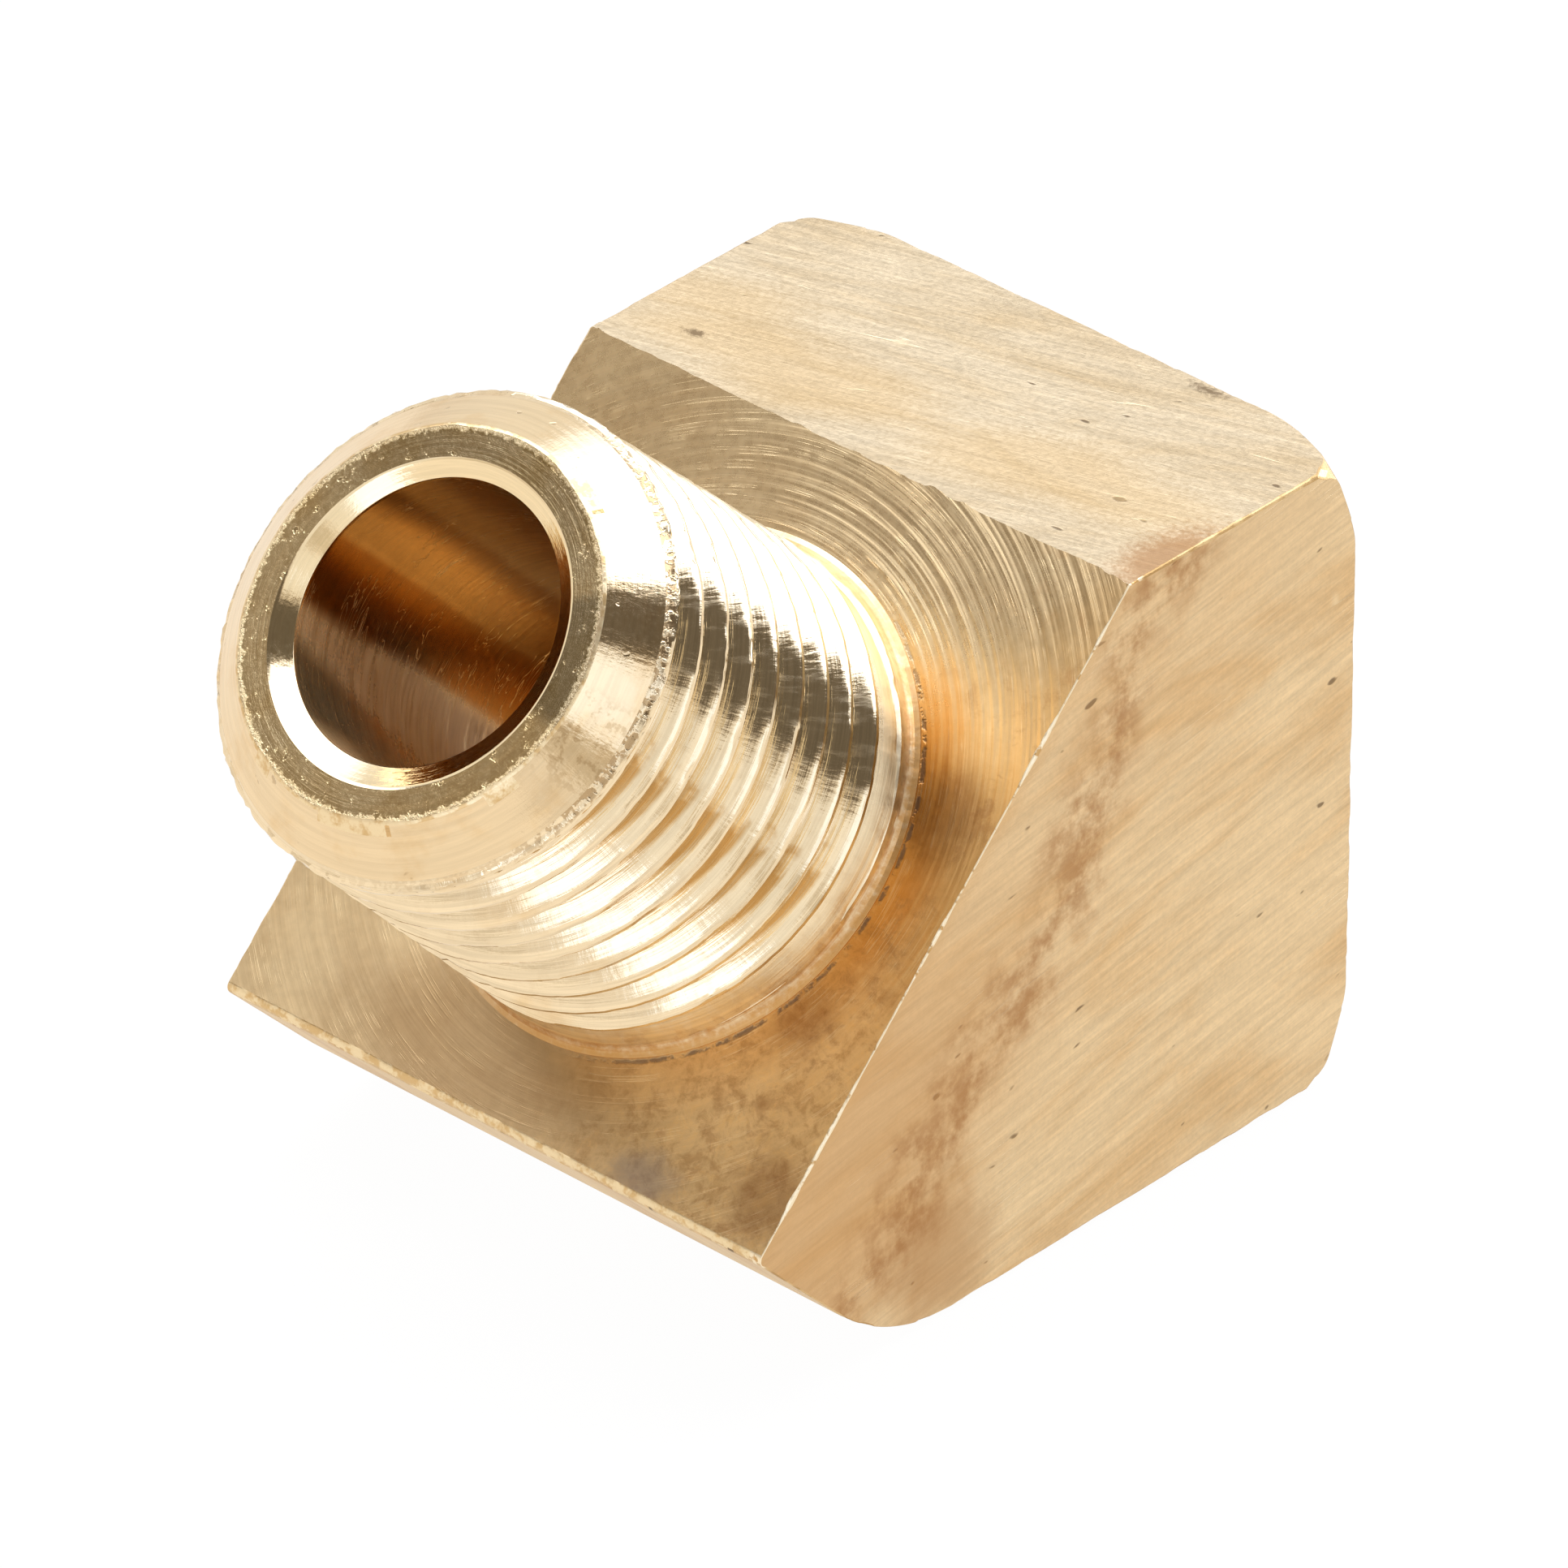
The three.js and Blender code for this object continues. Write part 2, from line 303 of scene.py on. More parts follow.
def split_strips(bm):
    """Splits the long bevel strips so that their wear can vary along them."""
    def is_strip(edge):
        sides = edge.link_faces
        return (edge.calc_length() > 0.30 and min(f.calc_area() for f in sides) < 2.0
                and min(min(s.calc_length() for s in f.edges) for f in sides) < 0.12)

    groups = []
    for edge in sorted(filter(is_strip, bm.edges), key=lambda e: e.calc_length()):
        length = edge.calc_length()
        if groups and length - groups[-1][0] < 0.30:
            groups[-1][1].append(edge)
        else:
            groups.append([length, [edge]])
    for length, edges in groups:
        cuts = max(1, int(round(length / 0.11)))
        bmesh.ops.subdivide_edges(bm, edges=edges, cuts=cuts, use_grid_fill=True)


def wear_depth(co):
    rolling = solid_noise.fractal(co * 1.6 + Vector((3.1, 7.7, 1.3)), 0.9, 2.1, 4)
    ripple = max(0.0, solid_noise.noise(co * 7.0))
    on_shoulder = co.dot(NIPPLE_AXIS) > SHOULDER_D - 0.2
    if not (on_shoulder and max(co.x, co.z) > HALF - 0.2):
        if abs(co.x) > HALF - 0.2 and abs(co.z) > HALF - 0.2:      # the bar's long edges
            return 0.045 + 0.035 * max(0.0, rolling + 0.25) + 0.012 * ripple
    wear = 0.018 + 0.055 * max(0.0, rolling + 0.15) ** 1.2 + 0.022 * ripple
    if on_shoulder and co.z > HALF - 0.2:                          # shoulder's upper edge
        chip = solid_noise.noise(Vector((co.x * 2.3, 5.0, 1.0)))
        return wear * 1.1 + 0.10 * max(0.0, chip - 0.32)
    if on_shoulder and co.x > HALF - 0.2:                          # shoulder's +X edge
        return wear * 0.8
    return wear


def wear_edges(bm):
    """Moves the bevel's vertices into the metal by noise."""
    for v in bm.verts:
        gaps = [(normal, distance - v.co.dot(normal)) for normal, distance in BLOCK_PLANES]
        close = [normal for normal, gap in gaps if gap < 0.16]
        touching = [normal for normal, gap in gaps if gap < 2e-3]
        if len(close) < 2:
            continue
        away = Vector((0, 0, 0))
        for normal in close:
            away -= normal
        for normal in touching:
            away -= normal * away.dot(normal)
        if away.length > 1e-6:
            v.co += away.normalized() * wear_depth(v.co) * (1.0 if touching else 0.55)


def make_block():
    block = make_prism()
    corner_y = PORT_Y - (CORNER_R - CONE_R) * CONE_SLOPE
    turned = rounded([
        (0, -30), (20, -30), (20, corner_y - (20 - CORNER_R) * CORNER_SLOPE),
        (CORNER_R, corner_y), (CONE_R, PORT_Y), (0, PORT_Y),
    ], [0, 0, 0, 0.45, 0.9, 0], 5)
    boolean(block, lathe("turned", turned, 288), "INTERSECT")
    bm = bmesh.new()
    bm.from_mesh(block.data)
    bmesh.ops.remove_doubles(bm, verts=bm.verts, dist=1e-4)
    bmesh.ops.dissolve_limit(bm, angle_limit=math.radians(0.25), verts=bm.verts, edges=bm.edges)
    sharp = [e for e in bm.edges
             if len(e.link_faces) == 2 and e.calc_face_angle(0) > math.radians(33)]
    bmesh.ops.bevel(bm, geom=sharp, offset=0.075, offset_type="OFFSET", segments=2,
                    profile=0.55, affect="EDGES", clamp_overlap=True)
    split_strips(bm)
    wear_edges(bm)
    bmesh.ops.triangulate(bm, faces=[f for f in bm.faces if len(f.verts) > 4])
    bmesh.ops.recalc_face_normals(bm, faces=bm.faces)
    bm.to_mesh(block.data)
    bm.free()
    return block


# --------------------------------------------------------------------------
# The nipple
# --------------------------------------------------------------------------
def crest_at(y):
    return LEAD_R + (TIP - LEAD_D - y) * TAPER


def pipe_thread():
    crest = 0.125 / PIPE_PITCH
    flank = PIPE_DEPTH * math.tan(math.radians(30)) / PIPE_PITCH
    root = 1 - crest - 2 * flank
    far = crest + flank + root
    stations = [  # share of pitch along, drop
        (0.000, 0.020), (0.022, 0.0), (crest * 0.5, 0.0), (crest - 0.022, 0.0), (crest, 0.020),
        (crest + flank * 0.12, PIPE_DEPTH * 0.095), (crest + flank * 0.25, PIPE_DEPTH * 0.22),
        (crest + flank * 0.42, PIPE_DEPTH * 0.41), (crest + flank * 0.60, PIPE_DEPTH * 0.60),
        (crest + flank * 0.78, PIPE_DEPTH * 0.74), (crest + flank * 1.0, PIPE_DEPTH * 0.83),
        (crest + flank * 1.15, PIPE_DEPTH * 0.86), (far + flank * 0.3, PIPE_DEPTH * 0.7),
        (far + flank * 0.65, PIPE_DEPTH * 0.35),
    ]

    def rough(y, angle, drop):
        turn = np.floor((y - angle / (2 * math.pi) * PIPE_PITCH) / PIPE_PITCH + 0.5)
        torn = (hash_noise(angle * 9.0, turn * 1.7, 3) * 0.6
                + hash_noise(angle * 31.0, turn * 3.1, 4) * 0.4)
        on_crest = np.clip(1 - drop / 0.06, 0, 1)
        out = -on_crest * 0.045 * np.clip(torn - 0.45, 0, 1) * 1.6
        out += (hash_noise(angle * 14.0, y * 6.0, 9) - 0.5) * 0.008
        waves = hash_noise(angle * 2.3 + 5.0, turn * 2.3 + drop * 3.0, 11) - 0.5
        out += (1 - on_crest) * waves * 0.030
        dent = np.clip(hash_noise(angle * 3.3, turn * 0.9, 17) - 0.82, 0, 1) * 5.0
        out -= on_crest * dent * 0.05
        return out

    return screw("thread", BASE, TIP, PIPE_PITCH, stations, crest_at, 256, rough)


def nipple_root():
    """The foot of the nipple, where the thread runs out into the shoulder."""
    foot = crest_at(BASE)
    profile = [
        (0, BASE - 1.2), (RING_R, BASE - 1.2), (RING_R, BASE + 0.02),
        (foot + 0.085, BASE + 0.06), (foot + 0.030, BASE + 0.13),
        (crest_at(BASE + 0.2), BASE + 0.20), (crest_at(BASE + 0.32) - 0.01, BASE + 0.32),
        (crest_at(BASE + 0.6) - 0.10, BASE + 0.60), (crest_at(BASE + 0.9) - 0.20, BASE + 0.90),
        (crest_at(BASE + 1.45) - 0.60, BASE + 1.45), (0, BASE + 1.45),
    ]

    def wobble(radius, y, angle):
        if not BASE + 0.25 < y < BASE + 1.3:
            return 0.0
        return ((hash_noise(angle * 6.0, y * 3.0, 21) - 0.5) * 0.05
                + (hash_noise(angle * 21.0, y * 5.0, 22) - 0.5) * 0.02)

    return lathe("root", profile, 256, wobble)


def nipple_envelope():
    """Trims the nipple to its lead cone and nose."""
    slope = LEAD_D / (LEAD_R - NOSE_R)
    profile = rounded([
        (0, BASE - 1.2), (7, BASE - 1.2), (7, TIP - 1.60),
        (LEAD_R + 0.01, TIP - LEAD_D - 0.07), (LEAD_R - 0.15, TIP - LEAD_D + 0.16),
        (NOSE_R + 0.2, TIP - 0.2 * slope), (NOSE_R, TIP), (0, TIP),
    ], [0, 0, 0, 0.1, 0.25, 0, 0.16, 0], 5)

    def nicked(radius, y, angle):
        near = max(0.0, 1.0 - abs(y - TIP) / 0.12) if radius > 3 else 0.0
        nicks = np.clip(hash_noise(angle * 4.1, angle * 0.0, 52) - 0.72, 0, 1)
        return -near * (0.03 * hash_noise(angle * 11.0, angle * 0.0, 51) + 0.05 * nicks / 0.28)

    return lathe("envelope", profile, 256, nicked)


def lead_burr(edge):
    """Ragged bead where the last turn meets the lead cone."""
    def wobble(radius, y, angle):
        if radius <= 3:
            return 0.0
        return ((hash_noise(angle * 37.0, y * 25.0, 61) - 0.40) * 0.060
                + (hash_noise(angle * 13.0, angle * 0.0, 62) - 0.5) * 0.030)

    return lathe("burr", [
        (0, edge - 0.10), (LEAD_R - 0.10, edge - 0.10), (LEAD_R + 0.010, edge - 0.05),
        (LEAD_R + 0.022, edge), (LEAD_R - 0.010, edge + 0.06), (LEAD_R - 0.12, edge + 0.11),
        (0, edge + 0.11),
    ], 256, wobble)


def bore_wall(radius, low, high):
    steps = int((high - low) / 0.9)
    return [(radius, low + (high - low) * k / steps) for k in range(steps + 1)]


def bore_lathe(profile):
    """A drill shape, set off the axis; the offset fades out through the mouth."""
    ob = lathe("bore", profile, 256)
    for v in ob.data.vertices:
        share = 1.0
        if v.co.y >= TIP - MOUTH_D:
            share = max(0.0, (TIP - v.co.y) / MOUTH_D)
        v.co.x += BORE_AT[0] * share
        v.co.z -= BORE_AT[1] * share
    return ob


def nipple_bore():
    """The hole from below the shoulder out through its countersunk mouth."""
    low = BASE - 2.0
    step = (MOUTH_R - BORE_R) / MOUTH_D
    return bore_lathe([(0, low)] + bore_wall(BORE_R, low, TIP - MOUTH_D - 0.08) + [
        (BORE_R, TIP - MOUTH_D - 0.02), (BORE_R + 0.008, TIP - MOUTH_D),
        (BORE_R + 0.015 * step, TIP - MOUTH_D + 0.015), (MOUTH_R - 0.035 * step, TIP - 0.035),
        (MOUTH_R - 0.012, TIP - 0.012), (MOUTH_R + 0.02, TIP), (MOUTH_R + 0.6, TIP + 0.44),
        (0, TIP + 0.44),
    ])


def make_nipple():
    nipple = pipe_thread()
    boolean(nipple, nipple_root(), "UNION")
    edge = TIP - LEAD_D - 0.04
    rim = LEAD_R + 0.01
    collar = lathe("collar", [(0, edge), (rim, edge), (rim, TIP + 0.2), (0, TIP + 0.2)], 256)
    boolean(nipple, collar, "UNION")
    boolean(nipple, nipple_envelope(), "INTERSECT")
    boolean(nipple, lead_burr(edge), "UNION")
    boolean(nipple, nipple_bore(), "DIFFERENCE")
    return tilt(nipple)


def make_bore():
    """The inner part of the hole, through the bar, with a conical end."""
    low, high = -2.6, BASE + 0.4
    wall = bore_wall(BORE_R - 0.004, low + 1.7, high)
    return tilt(bore_lathe([(0, low)] + wall + [(0, high)]))


# --------------------------------------------------------------------------
# The port and its flare seat
# --------------------------------------------------------------------------
def make_port():
    profile = rounded([
        (0, -2.1), (PASSAGE_R, -0.2), (PASSAGE_R, FLOOR_Y), (MINOR, FLOOR_Y),
        (MINOR, PORT_Y - (PORT_MOUTH_R - MINOR)), (PORT_MOUTH_R, PORT_Y),
        (PORT_MOUTH_R + 1, PORT_Y + 1), (0, PORT_Y + 1),
    ], [0, 0, 0, 0.12, 0.03, 0, 0, 0], 3)
    return lathe("port", profile, 224)


def make_port_thread():
    depth = MAJOR - MINOR + 0.03
    crest = 0.14 / PORT_PITCH
    flank = depth * math.tan(math.radians(30)) / PORT_PITCH
    root = 1 - crest - 2 * flank
    far = crest + flank + root
    stations = [  # share of pitch along, drop
        (0.0, 0.018), (0.02, 0.0), (crest - 0.02, 0.0), (crest, 0.018),
        (crest + flank * 0.5, depth * 0.5), (crest + flank, depth),
        (crest + flank + root * 0.5, depth), (far, depth), (far + flank * 0.5, depth * 0.5),
    ]

    def rough(y, angle, drop):
        return (hash_noise(angle * 12.0, y * 5.0, 41) - 0.5) * 0.008

    low = PORT_Y - PORT_THREAD_L
    thread = screw("pthread", low, PORT_Y + 1, PORT_PITCH, stations, lambda y: MAJOR, 176, rough)
    envelope = lathe("penv", [
        (0, low), (MINOR - 0.02, low), (MAJOR + 0.2, low + 0.75),
        (MAJOR + 0.2, PORT_Y + 1.5), (0, PORT_Y + 1.5)], 176)
    return boolean(thread, envelope, "INTERSECT")


def make_seat():
    outline = rounded_loop([  # (radius, y), rounding radius, steps
        ((SEAT_HOLE_R, SEAT_Y - SEAT_STEM_L), 0.15, 4),
        ((SEAT_STEM_R, SEAT_Y - SEAT_STEM_L), 0.12, 4),
        ((SEAT_STEM_R, SEAT_Y), 0.03, 4),
        ((SEAT_HEAD_R, SEAT_Y), 0.05, 4),
        ((SEAT_HEAD_R, SEAT_Y + SEAT_RIM), 0.06, 4),
        ((SEAT_TIP_R, SEAT_TOP_Y), 0.05, 4),
        ((SEAT_HOLE_R, SEAT_TOP_Y), 0.08, 4),
    ])
    segments = 192
    angle = circle_angles(segments)
    verts, faces = [], []
    for k, (radius, y) in enumerate(outline):
        verts += circle(radius, y, angle)
        a, b = k * segments, (k + 1) % len(outline) * segments
        for i in range(segments):
            j = (i + 1) % segments
            faces.append((a + i, a + j, b + j, b + i))
    return face_outward(new_object("seat_ring", verts, faces))


def make_body():
    body = make_block()
    body.name = "brass_body"
    boolean(body, make_nipple(), "UNION")
    for make_tool in (make_bore, make_port, make_port_thread):
        boolean(body, make_tool(), "DIFFERENCE")
    bm = bmesh.new()
    bm.from_mesh(body.data)
    bmesh.ops.remove_doubles(bm, verts=bm.verts, dist=0.0012)
    bmesh.ops.dissolve_degenerate(bm, edges=bm.edges, dist=0.0006)
    bm.to_mesh(body.data)
    bm.free()
    return body


# --------------------------------------------------------------------------
# Normals, and the machined region each face belongs to
# --------------------------------------------------------------------------
REGIONS = ["edge", "top", "side", "base", "shoulder", "turned", "thread", "lead", "nose",
           "mouth", "bore", "port"]
REGION = {name: i for i, name in enumerate(REGIONS)}


def read_vectors(items, key):
    flat = np.empty(len(items) * 3)
    items.foreach_get(key, flat)
    return flat.reshape(-1, 3)


def classify(mesh):
    """Region number of each face; a later rule overrides an earlier one."""
    centre = read_vectors(mesh.polygons, "center")
    normal = read_vectors(mesh.polygons, "normal")
    axis, upslope = np.array(NIPPLE_AXIS), np.array(UPSLOPE)
    x, y, z = centre.T
    nx, ny, nz = normal.T
    # about the nipple's axis: height, radius, and the normal's shares along and outward
    height, rise = centre @ axis, centre @ upslope
    radius = np.hypot(x, rise)
    facing = normal @ axis
    outward = (nx * x + (normal @ upslope) * rise) / np.maximum(radius, 1e-6)
    # about the port's axis
    port_r = np.hypot(x, z)
    port_out = (nx * x + nz * z) / np.maximum(port_r, 1e-6)

    end_face = (ny > 0.98) & (y > PORT_Y - 0.02)
    end_cone = ((ny > 0.25) & (port_r > CONE_R - 0.5) & (y > PORT_Y - 1.4) & (port_out > 0.1)
                & (np.abs(nx) < 0.93) & (np.abs(nz) < 0.93)
                & (np.abs(nx * z - nz * x) < 0.06 * port_r))
    clear_of_holes = ((radius > 3.4) & (port_r > 6.2)) | ((y < -1.0) & (z < -2.5))
    in_port = ((port_r < PORT_MOUTH_R + 0.08) & (y > -2.2) & (y < PORT_Y + 0.01) & ~end_face
               & (height < SHOULDER_D - 0.1) & (radius > BORE_R + 0.2))
    nipple = height > SHOULDER_D + 0.004
    cone_r = NOSE_R + (TIP - height) * (LEAD_R - NOSE_R) / LEAD_D
    mouth_low = TIP - MOUTH_D - 0.008
    rules = [
        ("top", (nz > 0.995) & (z > HALF - 0.02)),
        ("side", (np.abs(nx) > 0.995) & (np.abs(x) > HALF - 0.02)),
        ("base", (np.abs(nx) < 0.02) & (nz < -0.35) & (ny < 0.02) & (np.abs(x) < HALF - 0.02)
         & clear_of_holes),
        ("shoulder", (facing > 0.995) & (height > SHOULDER_D - 0.02)
         & (height < SHOULDER_D + 0.02)),
        ("turned", end_face | end_cone),
        ("port", in_port),
        ("thread", nipple),
        ("lead", nipple & (height > TIP - LEAD_D + 0.05) & (np.abs(radius - cone_r) < 0.012)
         & (facing > 0.6) & (facing < 0.8)),
        ("nose", nipple & (facing > 0.97) & (height > TIP - 0.03)),
        ("edge", nipple & (height > TIP - 0.16) & (np.abs(radius - NOSE_R) < 0.16)
         & (facing > 0.76) & (facing <= 0.97)),
        ("mouth", nipple & (outward < 0.2) & (radius < MOUTH_R + 0.15) & (height > mouth_low)
         & (facing <= 0.97)),
        ("bore", (radius < BORE_R + 0.2) & (outward < -0.5) & (height < mouth_low)
         & (height > -2.0)),
    ]
    region = np.zeros(len(centre), int)
    for name, mask in rules:
        region[mask] = REGION[name]
    return region


def smooth_normals(ob):
    mesh = ob.data
    mesh.polygons.foreach_set("use_smooth", [True] * len(mesh.polygons))
    mesh.set_sharp_from_angle(angle=math.radians(31))
    modifier = ob.modifiers.new("n", "WEIGHTED_NORMAL")
    modifier.mode = "FACE_AREA"
    modifier.weight = 50
    modifier.keep_sharp = True
    apply_modifiers(ob)


def exact_normals(mesh, region):
    """Flat and conical faces get their true normals, so that boolean slivers don't show."""
    corner = read_vectors(mesh.corner_normals, "vector")
    vertex = np.empty(len(mesh.loops), np.int32)
    mesh.loops.foreach_get("vertex_index", vertex)
    co = read_vectors(mesh.vertices, "co")[vertex]
    sides = np.empty(len(mesh.polygons), np.int32)
    mesh.polygons.foreach_get("loop_total", sides)
    part = np.repeat(region, sides)
    axis, upslope = np.array(NIPPLE_AXIS), np.array(UPSLOPE)
    x, rise, height = co[:, 0], co @ upslope, co @ axis
    radius = np.maximum(np.hypot(x, rise), 1e-6)
    outward = (x / radius)[:, None] * np.array([[1.0, 0, 0]]) + (rise / radius)[:, None] * upslope

    corner[part == REGION["top"]] = (0, 0, 1)
    mask = part == REGION["side"]
    corner[mask] = np.sign(x[mask])[:, None] * np.array([[1.0, 0, 0]])
    corner[(part == REGION["shoulder"]) | (part == REGION["nose"])] = axis
    corner[(part == REGION["base"]) & (corner[:, 2] < -0.9999)] = (0, 0, -1)
    corner[(part == REGION["turned"]) & (corner[:, 1] > 0.9995)] = (0, 1, 0)

    # the mouth's cone, blended into the bore below and the nose above
    mask = part == REGION["mouth"]
    wide = MOUTH_R - BORE_R
    slope = np.array([wide, MOUTH_D]) / math.hypot(wide, MOUTH_D)
    away = (outward[mask] * radius[mask][:, None] - np.array([[BORE_AT[0], 0, 0]]) * 0.5
            - upslope * BORE_AT[1] * 0.5)
    away /= np.linalg.norm(away, axis=1)[:, None]
    above_bore = np.clip((height[mask] - (TIP - MOUTH_D - 0.003)) / 0.014, 0, 1)[:, None]
    below_tip = np.clip((TIP - height[mask]) / 0.030, 0, 1)[:, None]
    cone = axis * slope[0] - away * slope[1]
    blended = cone * above_bore + (-away) * (1 - above_bore)
    blended = blended * below_tip + (blended + axis) * (1 - below_tip)
    corner[mask] = blended / np.linalg.norm(blended, axis=1)[:, None]

    mask = part == REGION["lead"]
    slope = np.array([LEAD_D, LEAD_R - NOSE_R]) / math.hypot(LEAD_D, LEAD_R - NOSE_R)
    corner[mask] = outward[mask] * slope[0] + axis * slope[1]
    mesh.normals_split_custom_set(corner.tolist())


# --------------------------------------------------------------------------
# Node helpers. Each adds to the tree being built, which fill_tree sets.
# --------------------------------------------------------------------------
tree = None


def fill_tree(target, build):
    global tree
    tree = target
    tree.nodes.clear()
    build()


def material(name, build):
    made = bpy.data.materials.new(name)
    made.use_nodes = True
    fill_tree(made.node_tree, build)
    return made


def node(kind, inputs=(), **props):
    """Adds a node. inputs: in order, or a dict by input name or number."""
    new = tree.nodes.new("ShaderNode" + kind)
    for key, value in props.items():
        setattr(new, key, value)
    if not isinstance(inputs, dict):
        inputs = dict(enumerate(inputs))
    for key, value in inputs.items():
        if isinstance(value, Signal):
            tree.links.new(value.socket, new.inputs[key])
        else:
            new.inputs[key].default_value = value
    return new


def signal(kind, inputs=(), output=0, **props):
    return Signal(node(kind, inputs, **props).outputs[output])


def calc(operation, a, b=0.0, c=0.0, clamp=False):
    return signal("Math", (a, b, c), operation=operation, use_clamp=clamp)


class Signal:
    """A node's output. Arithmetic on it adds math nodes."""

    def __init__(self, socket):
        self.socket = socket

    def __add__(self, other):
        return calc("ADD", self, other)

    def __sub__(self, other):
        return calc("SUBTRACT", self, other)

    def __rsub__(self, other):
        return calc("SUBTRACT", other, self)

    def __mul__(self, other):
        return calc("MULTIPLY", self, other)

    def __truediv__(self, other):
        return calc("DIVIDE", self, other)

    def __abs__(self):
        return calc("ABSOLUTE", self)

    def ramp(self, start, end, to=(0.0, 1.0)):
        """Smooth step: to[0] at start, to[1] at end."""
        return signal("MapRange", (self, start, end, *to), interpolation_type="SMOOTHSTEP")


def larger(a, b):
    return calc("MAXIMUM", a, b)


def contour(value, width):
    """Thin lines where a noise crosses its middle value."""
    return abs(value - 0.5).ramp(0, width, to=(1, 0))


def vector_math(operation, inputs, output="Vector"):
    return signal("VectorMath", inputs, output, operation=operation)


def dot(a, b):
    return vector_math("DOT_PRODUCT", (a, b), "Value")


def scaled(axis, amount):
    return vector_math("SCALE", {0: axis, "Scale": amount})


def vec(x, y, z):
    return signal("CombineXYZ", (x, y, z))


def noise(where, scale=1.0, detail=2.0, rough=0.5, dist=0.0):
    return signal("TexNoise", {"Vector": where, "Scale": scale, "Detail": detail,
                               "Roughness": rough, "Distortion": dist},
                  "Fac", noise_dimensions="3D")


def mix(share, a, b, how="MIX"):
    """Blends colours a and b."""
    return signal("Mix", {0: share, 6: a, 7: b}, 2, data_type="RGBA", blend_type=how)


def blend(share, a, b):
    """Blends numbers a and b."""
    return signal("Mix", {0: share, 2: a, 3: b}, data_type="FLOAT")


def shade(colour, value, start, end, to):
    """Multiplies a colour by a ramp of value."""
    amount = value.ramp(start, end, to)
    return mix(1.0, colour, vec(amount, amount, amount), "MULTIPLY")


def position():
    """Position in millimetres about the point where the two axes meet."""
    where = signal("TexCoord", output="Object")
    return vector_math("MULTIPLY_ADD", (where, (1000, 1000, 1000), (0, 0, -HALF)))


def patch(pos, centre, radius, soft, ragged, stretch=None):
    """Soft spot: 1 within radius of centre, 0 outside radius + soft.

    ragged is added to the distance; stretch: (axis, factor) lengthens it along the axis.
    """
    away = vector_math("SUBTRACT", (pos, centre))
    if stretch is not None:
        axis, factor = stretch
        squeeze = scaled(axis, dot(away, axis) * (1.0 / factor - 1.0))
        away = vector_math("ADD", (away, squeeze))
    distance = vector_math("LENGTH", (away,), "Value")
    return (distance + ragged).ramp(radius, radius + soft, to=(1, 0))


def bump(relief, microns):
    return signal("Bump", {"Strength": 1.0, "Distance": microns * 1e-6, "Height": relief})


def metal(colour, rough, normal, skin=0.0, **grain):
    """skin: share of the surface that is matt oxide. grain: Anisotropic and Tangent."""
    node("OutputMaterial", (signal("BsdfPrincipled", {
        **grain, "Metallic": calc("SUBTRACT", 1.0, skin), "Base Color": colour,
        "Roughness": rough, "Normal": normal}),))


def polar(rise_axis):
    """Position, its direction's shares along X and rise_axis, and the radius."""
    pos = position()
    a, b = dot(pos, X_AXIS), dot(pos, rise_axis)
    radius = calc("SQRT", a * a + b * b)
    return pos, a / radius, b / radius, radius


def ring_noise(side, rise, depth, around, **look):
    """Noise wrapped round an axis. around: how quickly it changes round the circle."""
    return noise(vec(side * around, rise * around, depth), **look)


def ring_marks(side, rise, depth, fine, medium, seed):
    """Circular tool marks: long arcs around, quick change along depth."""
    return (ring_noise(side, rise, depth * fine + seed, around=1.6, detail=3, rough=0.65),
            ring_noise(side, rise, depth * medium + (seed + 9), around=0.9))


def srgb(red, green, blue):
    """sRGB 0-255 to linear."""
    return tuple(c / 255 / 12.92 if c <= 10 else ((c / 255 + 0.055) / 1.055) ** 2.4
                 for c in (red, green, blue)) + (1.0,)


FRESH = srgb(244, 226, 190)      # newly cut brass
BROWN = srgb(164, 118, 70)
DARK = srgb(96, 74, 48)


# --------------------------------------------------------------------------
# Drawn bar faces
# --------------------------------------------------------------------------
def drawn_face(direction, across, seed, base, warm, marks):
    """Drawn bar surface: streaks along one direction, blotches, specks.

    marks(pos, tint, grain, cloud) returns the stained tint and a mask of extra roughness.
    """
    pos = position()
    run, cross = dot(pos, direction), dot(pos, across)

    def streaks(along, sideways, shift, **look):
        return noise(vec(run * along, cross * sideways, seed + shift), **look)

    cloud = streaks(0.16, 0.5, 0, detail=5, rough=0.62, dist=0.6)
    streak = streaks(0.30, 5, 3, detail=4, rough=0.6, dist=0.3)
    fine = streaks(1.1, 15, 5, detail=3, rough=0.6)
    grain = noise(pos, scale=9, detail=4, rough=0.7)
    speck = streaks(1.5, 3.4, 8, detail=1.5, rough=0.4)
    tint = mix(cloud.ramp(0.42, 0.72, to=(0, 0.9)), base, warm)
    tint = shade(tint, streak, 0.30, 0.72, to=(0.90, 1.06))
    tint = shade(tint, fine, 0.25, 0.75, to=(0.93, 1.05))
    tint = shade(tint, grain, 0.30, 0.70, to=(0.93, 1.04))
    dots = speck.ramp(0.735, 0.79, to=(0, 0.75))
    tint = mix(dots, tint, DARK)
    scratch = contour(streaks(0.10, 3.3, 21, detail=0), 0.008)
    scratch = scratch * streaks(0.5, 0.7, 31, detail=1).ramp(0.52, 0.62)
    tint = mix(scratch * 0.5, tint, FRESH)
    tint, extra = marks(pos, tint, grain, cloud)
    relief = streak * 0.5 + (fine * 0.22 + grain * 0.5)
    relief = relief - (dots * 0.6 + scratch * 0.4)
    metal(tint, rough=grain.ramp(0.3, 0.7, to=(0.30, 0.42)) + extra * 0.12,
          normal=bump(relief, microns=16))


def unit(x, y, z):
    return Vector((x, y, z)).normalized()


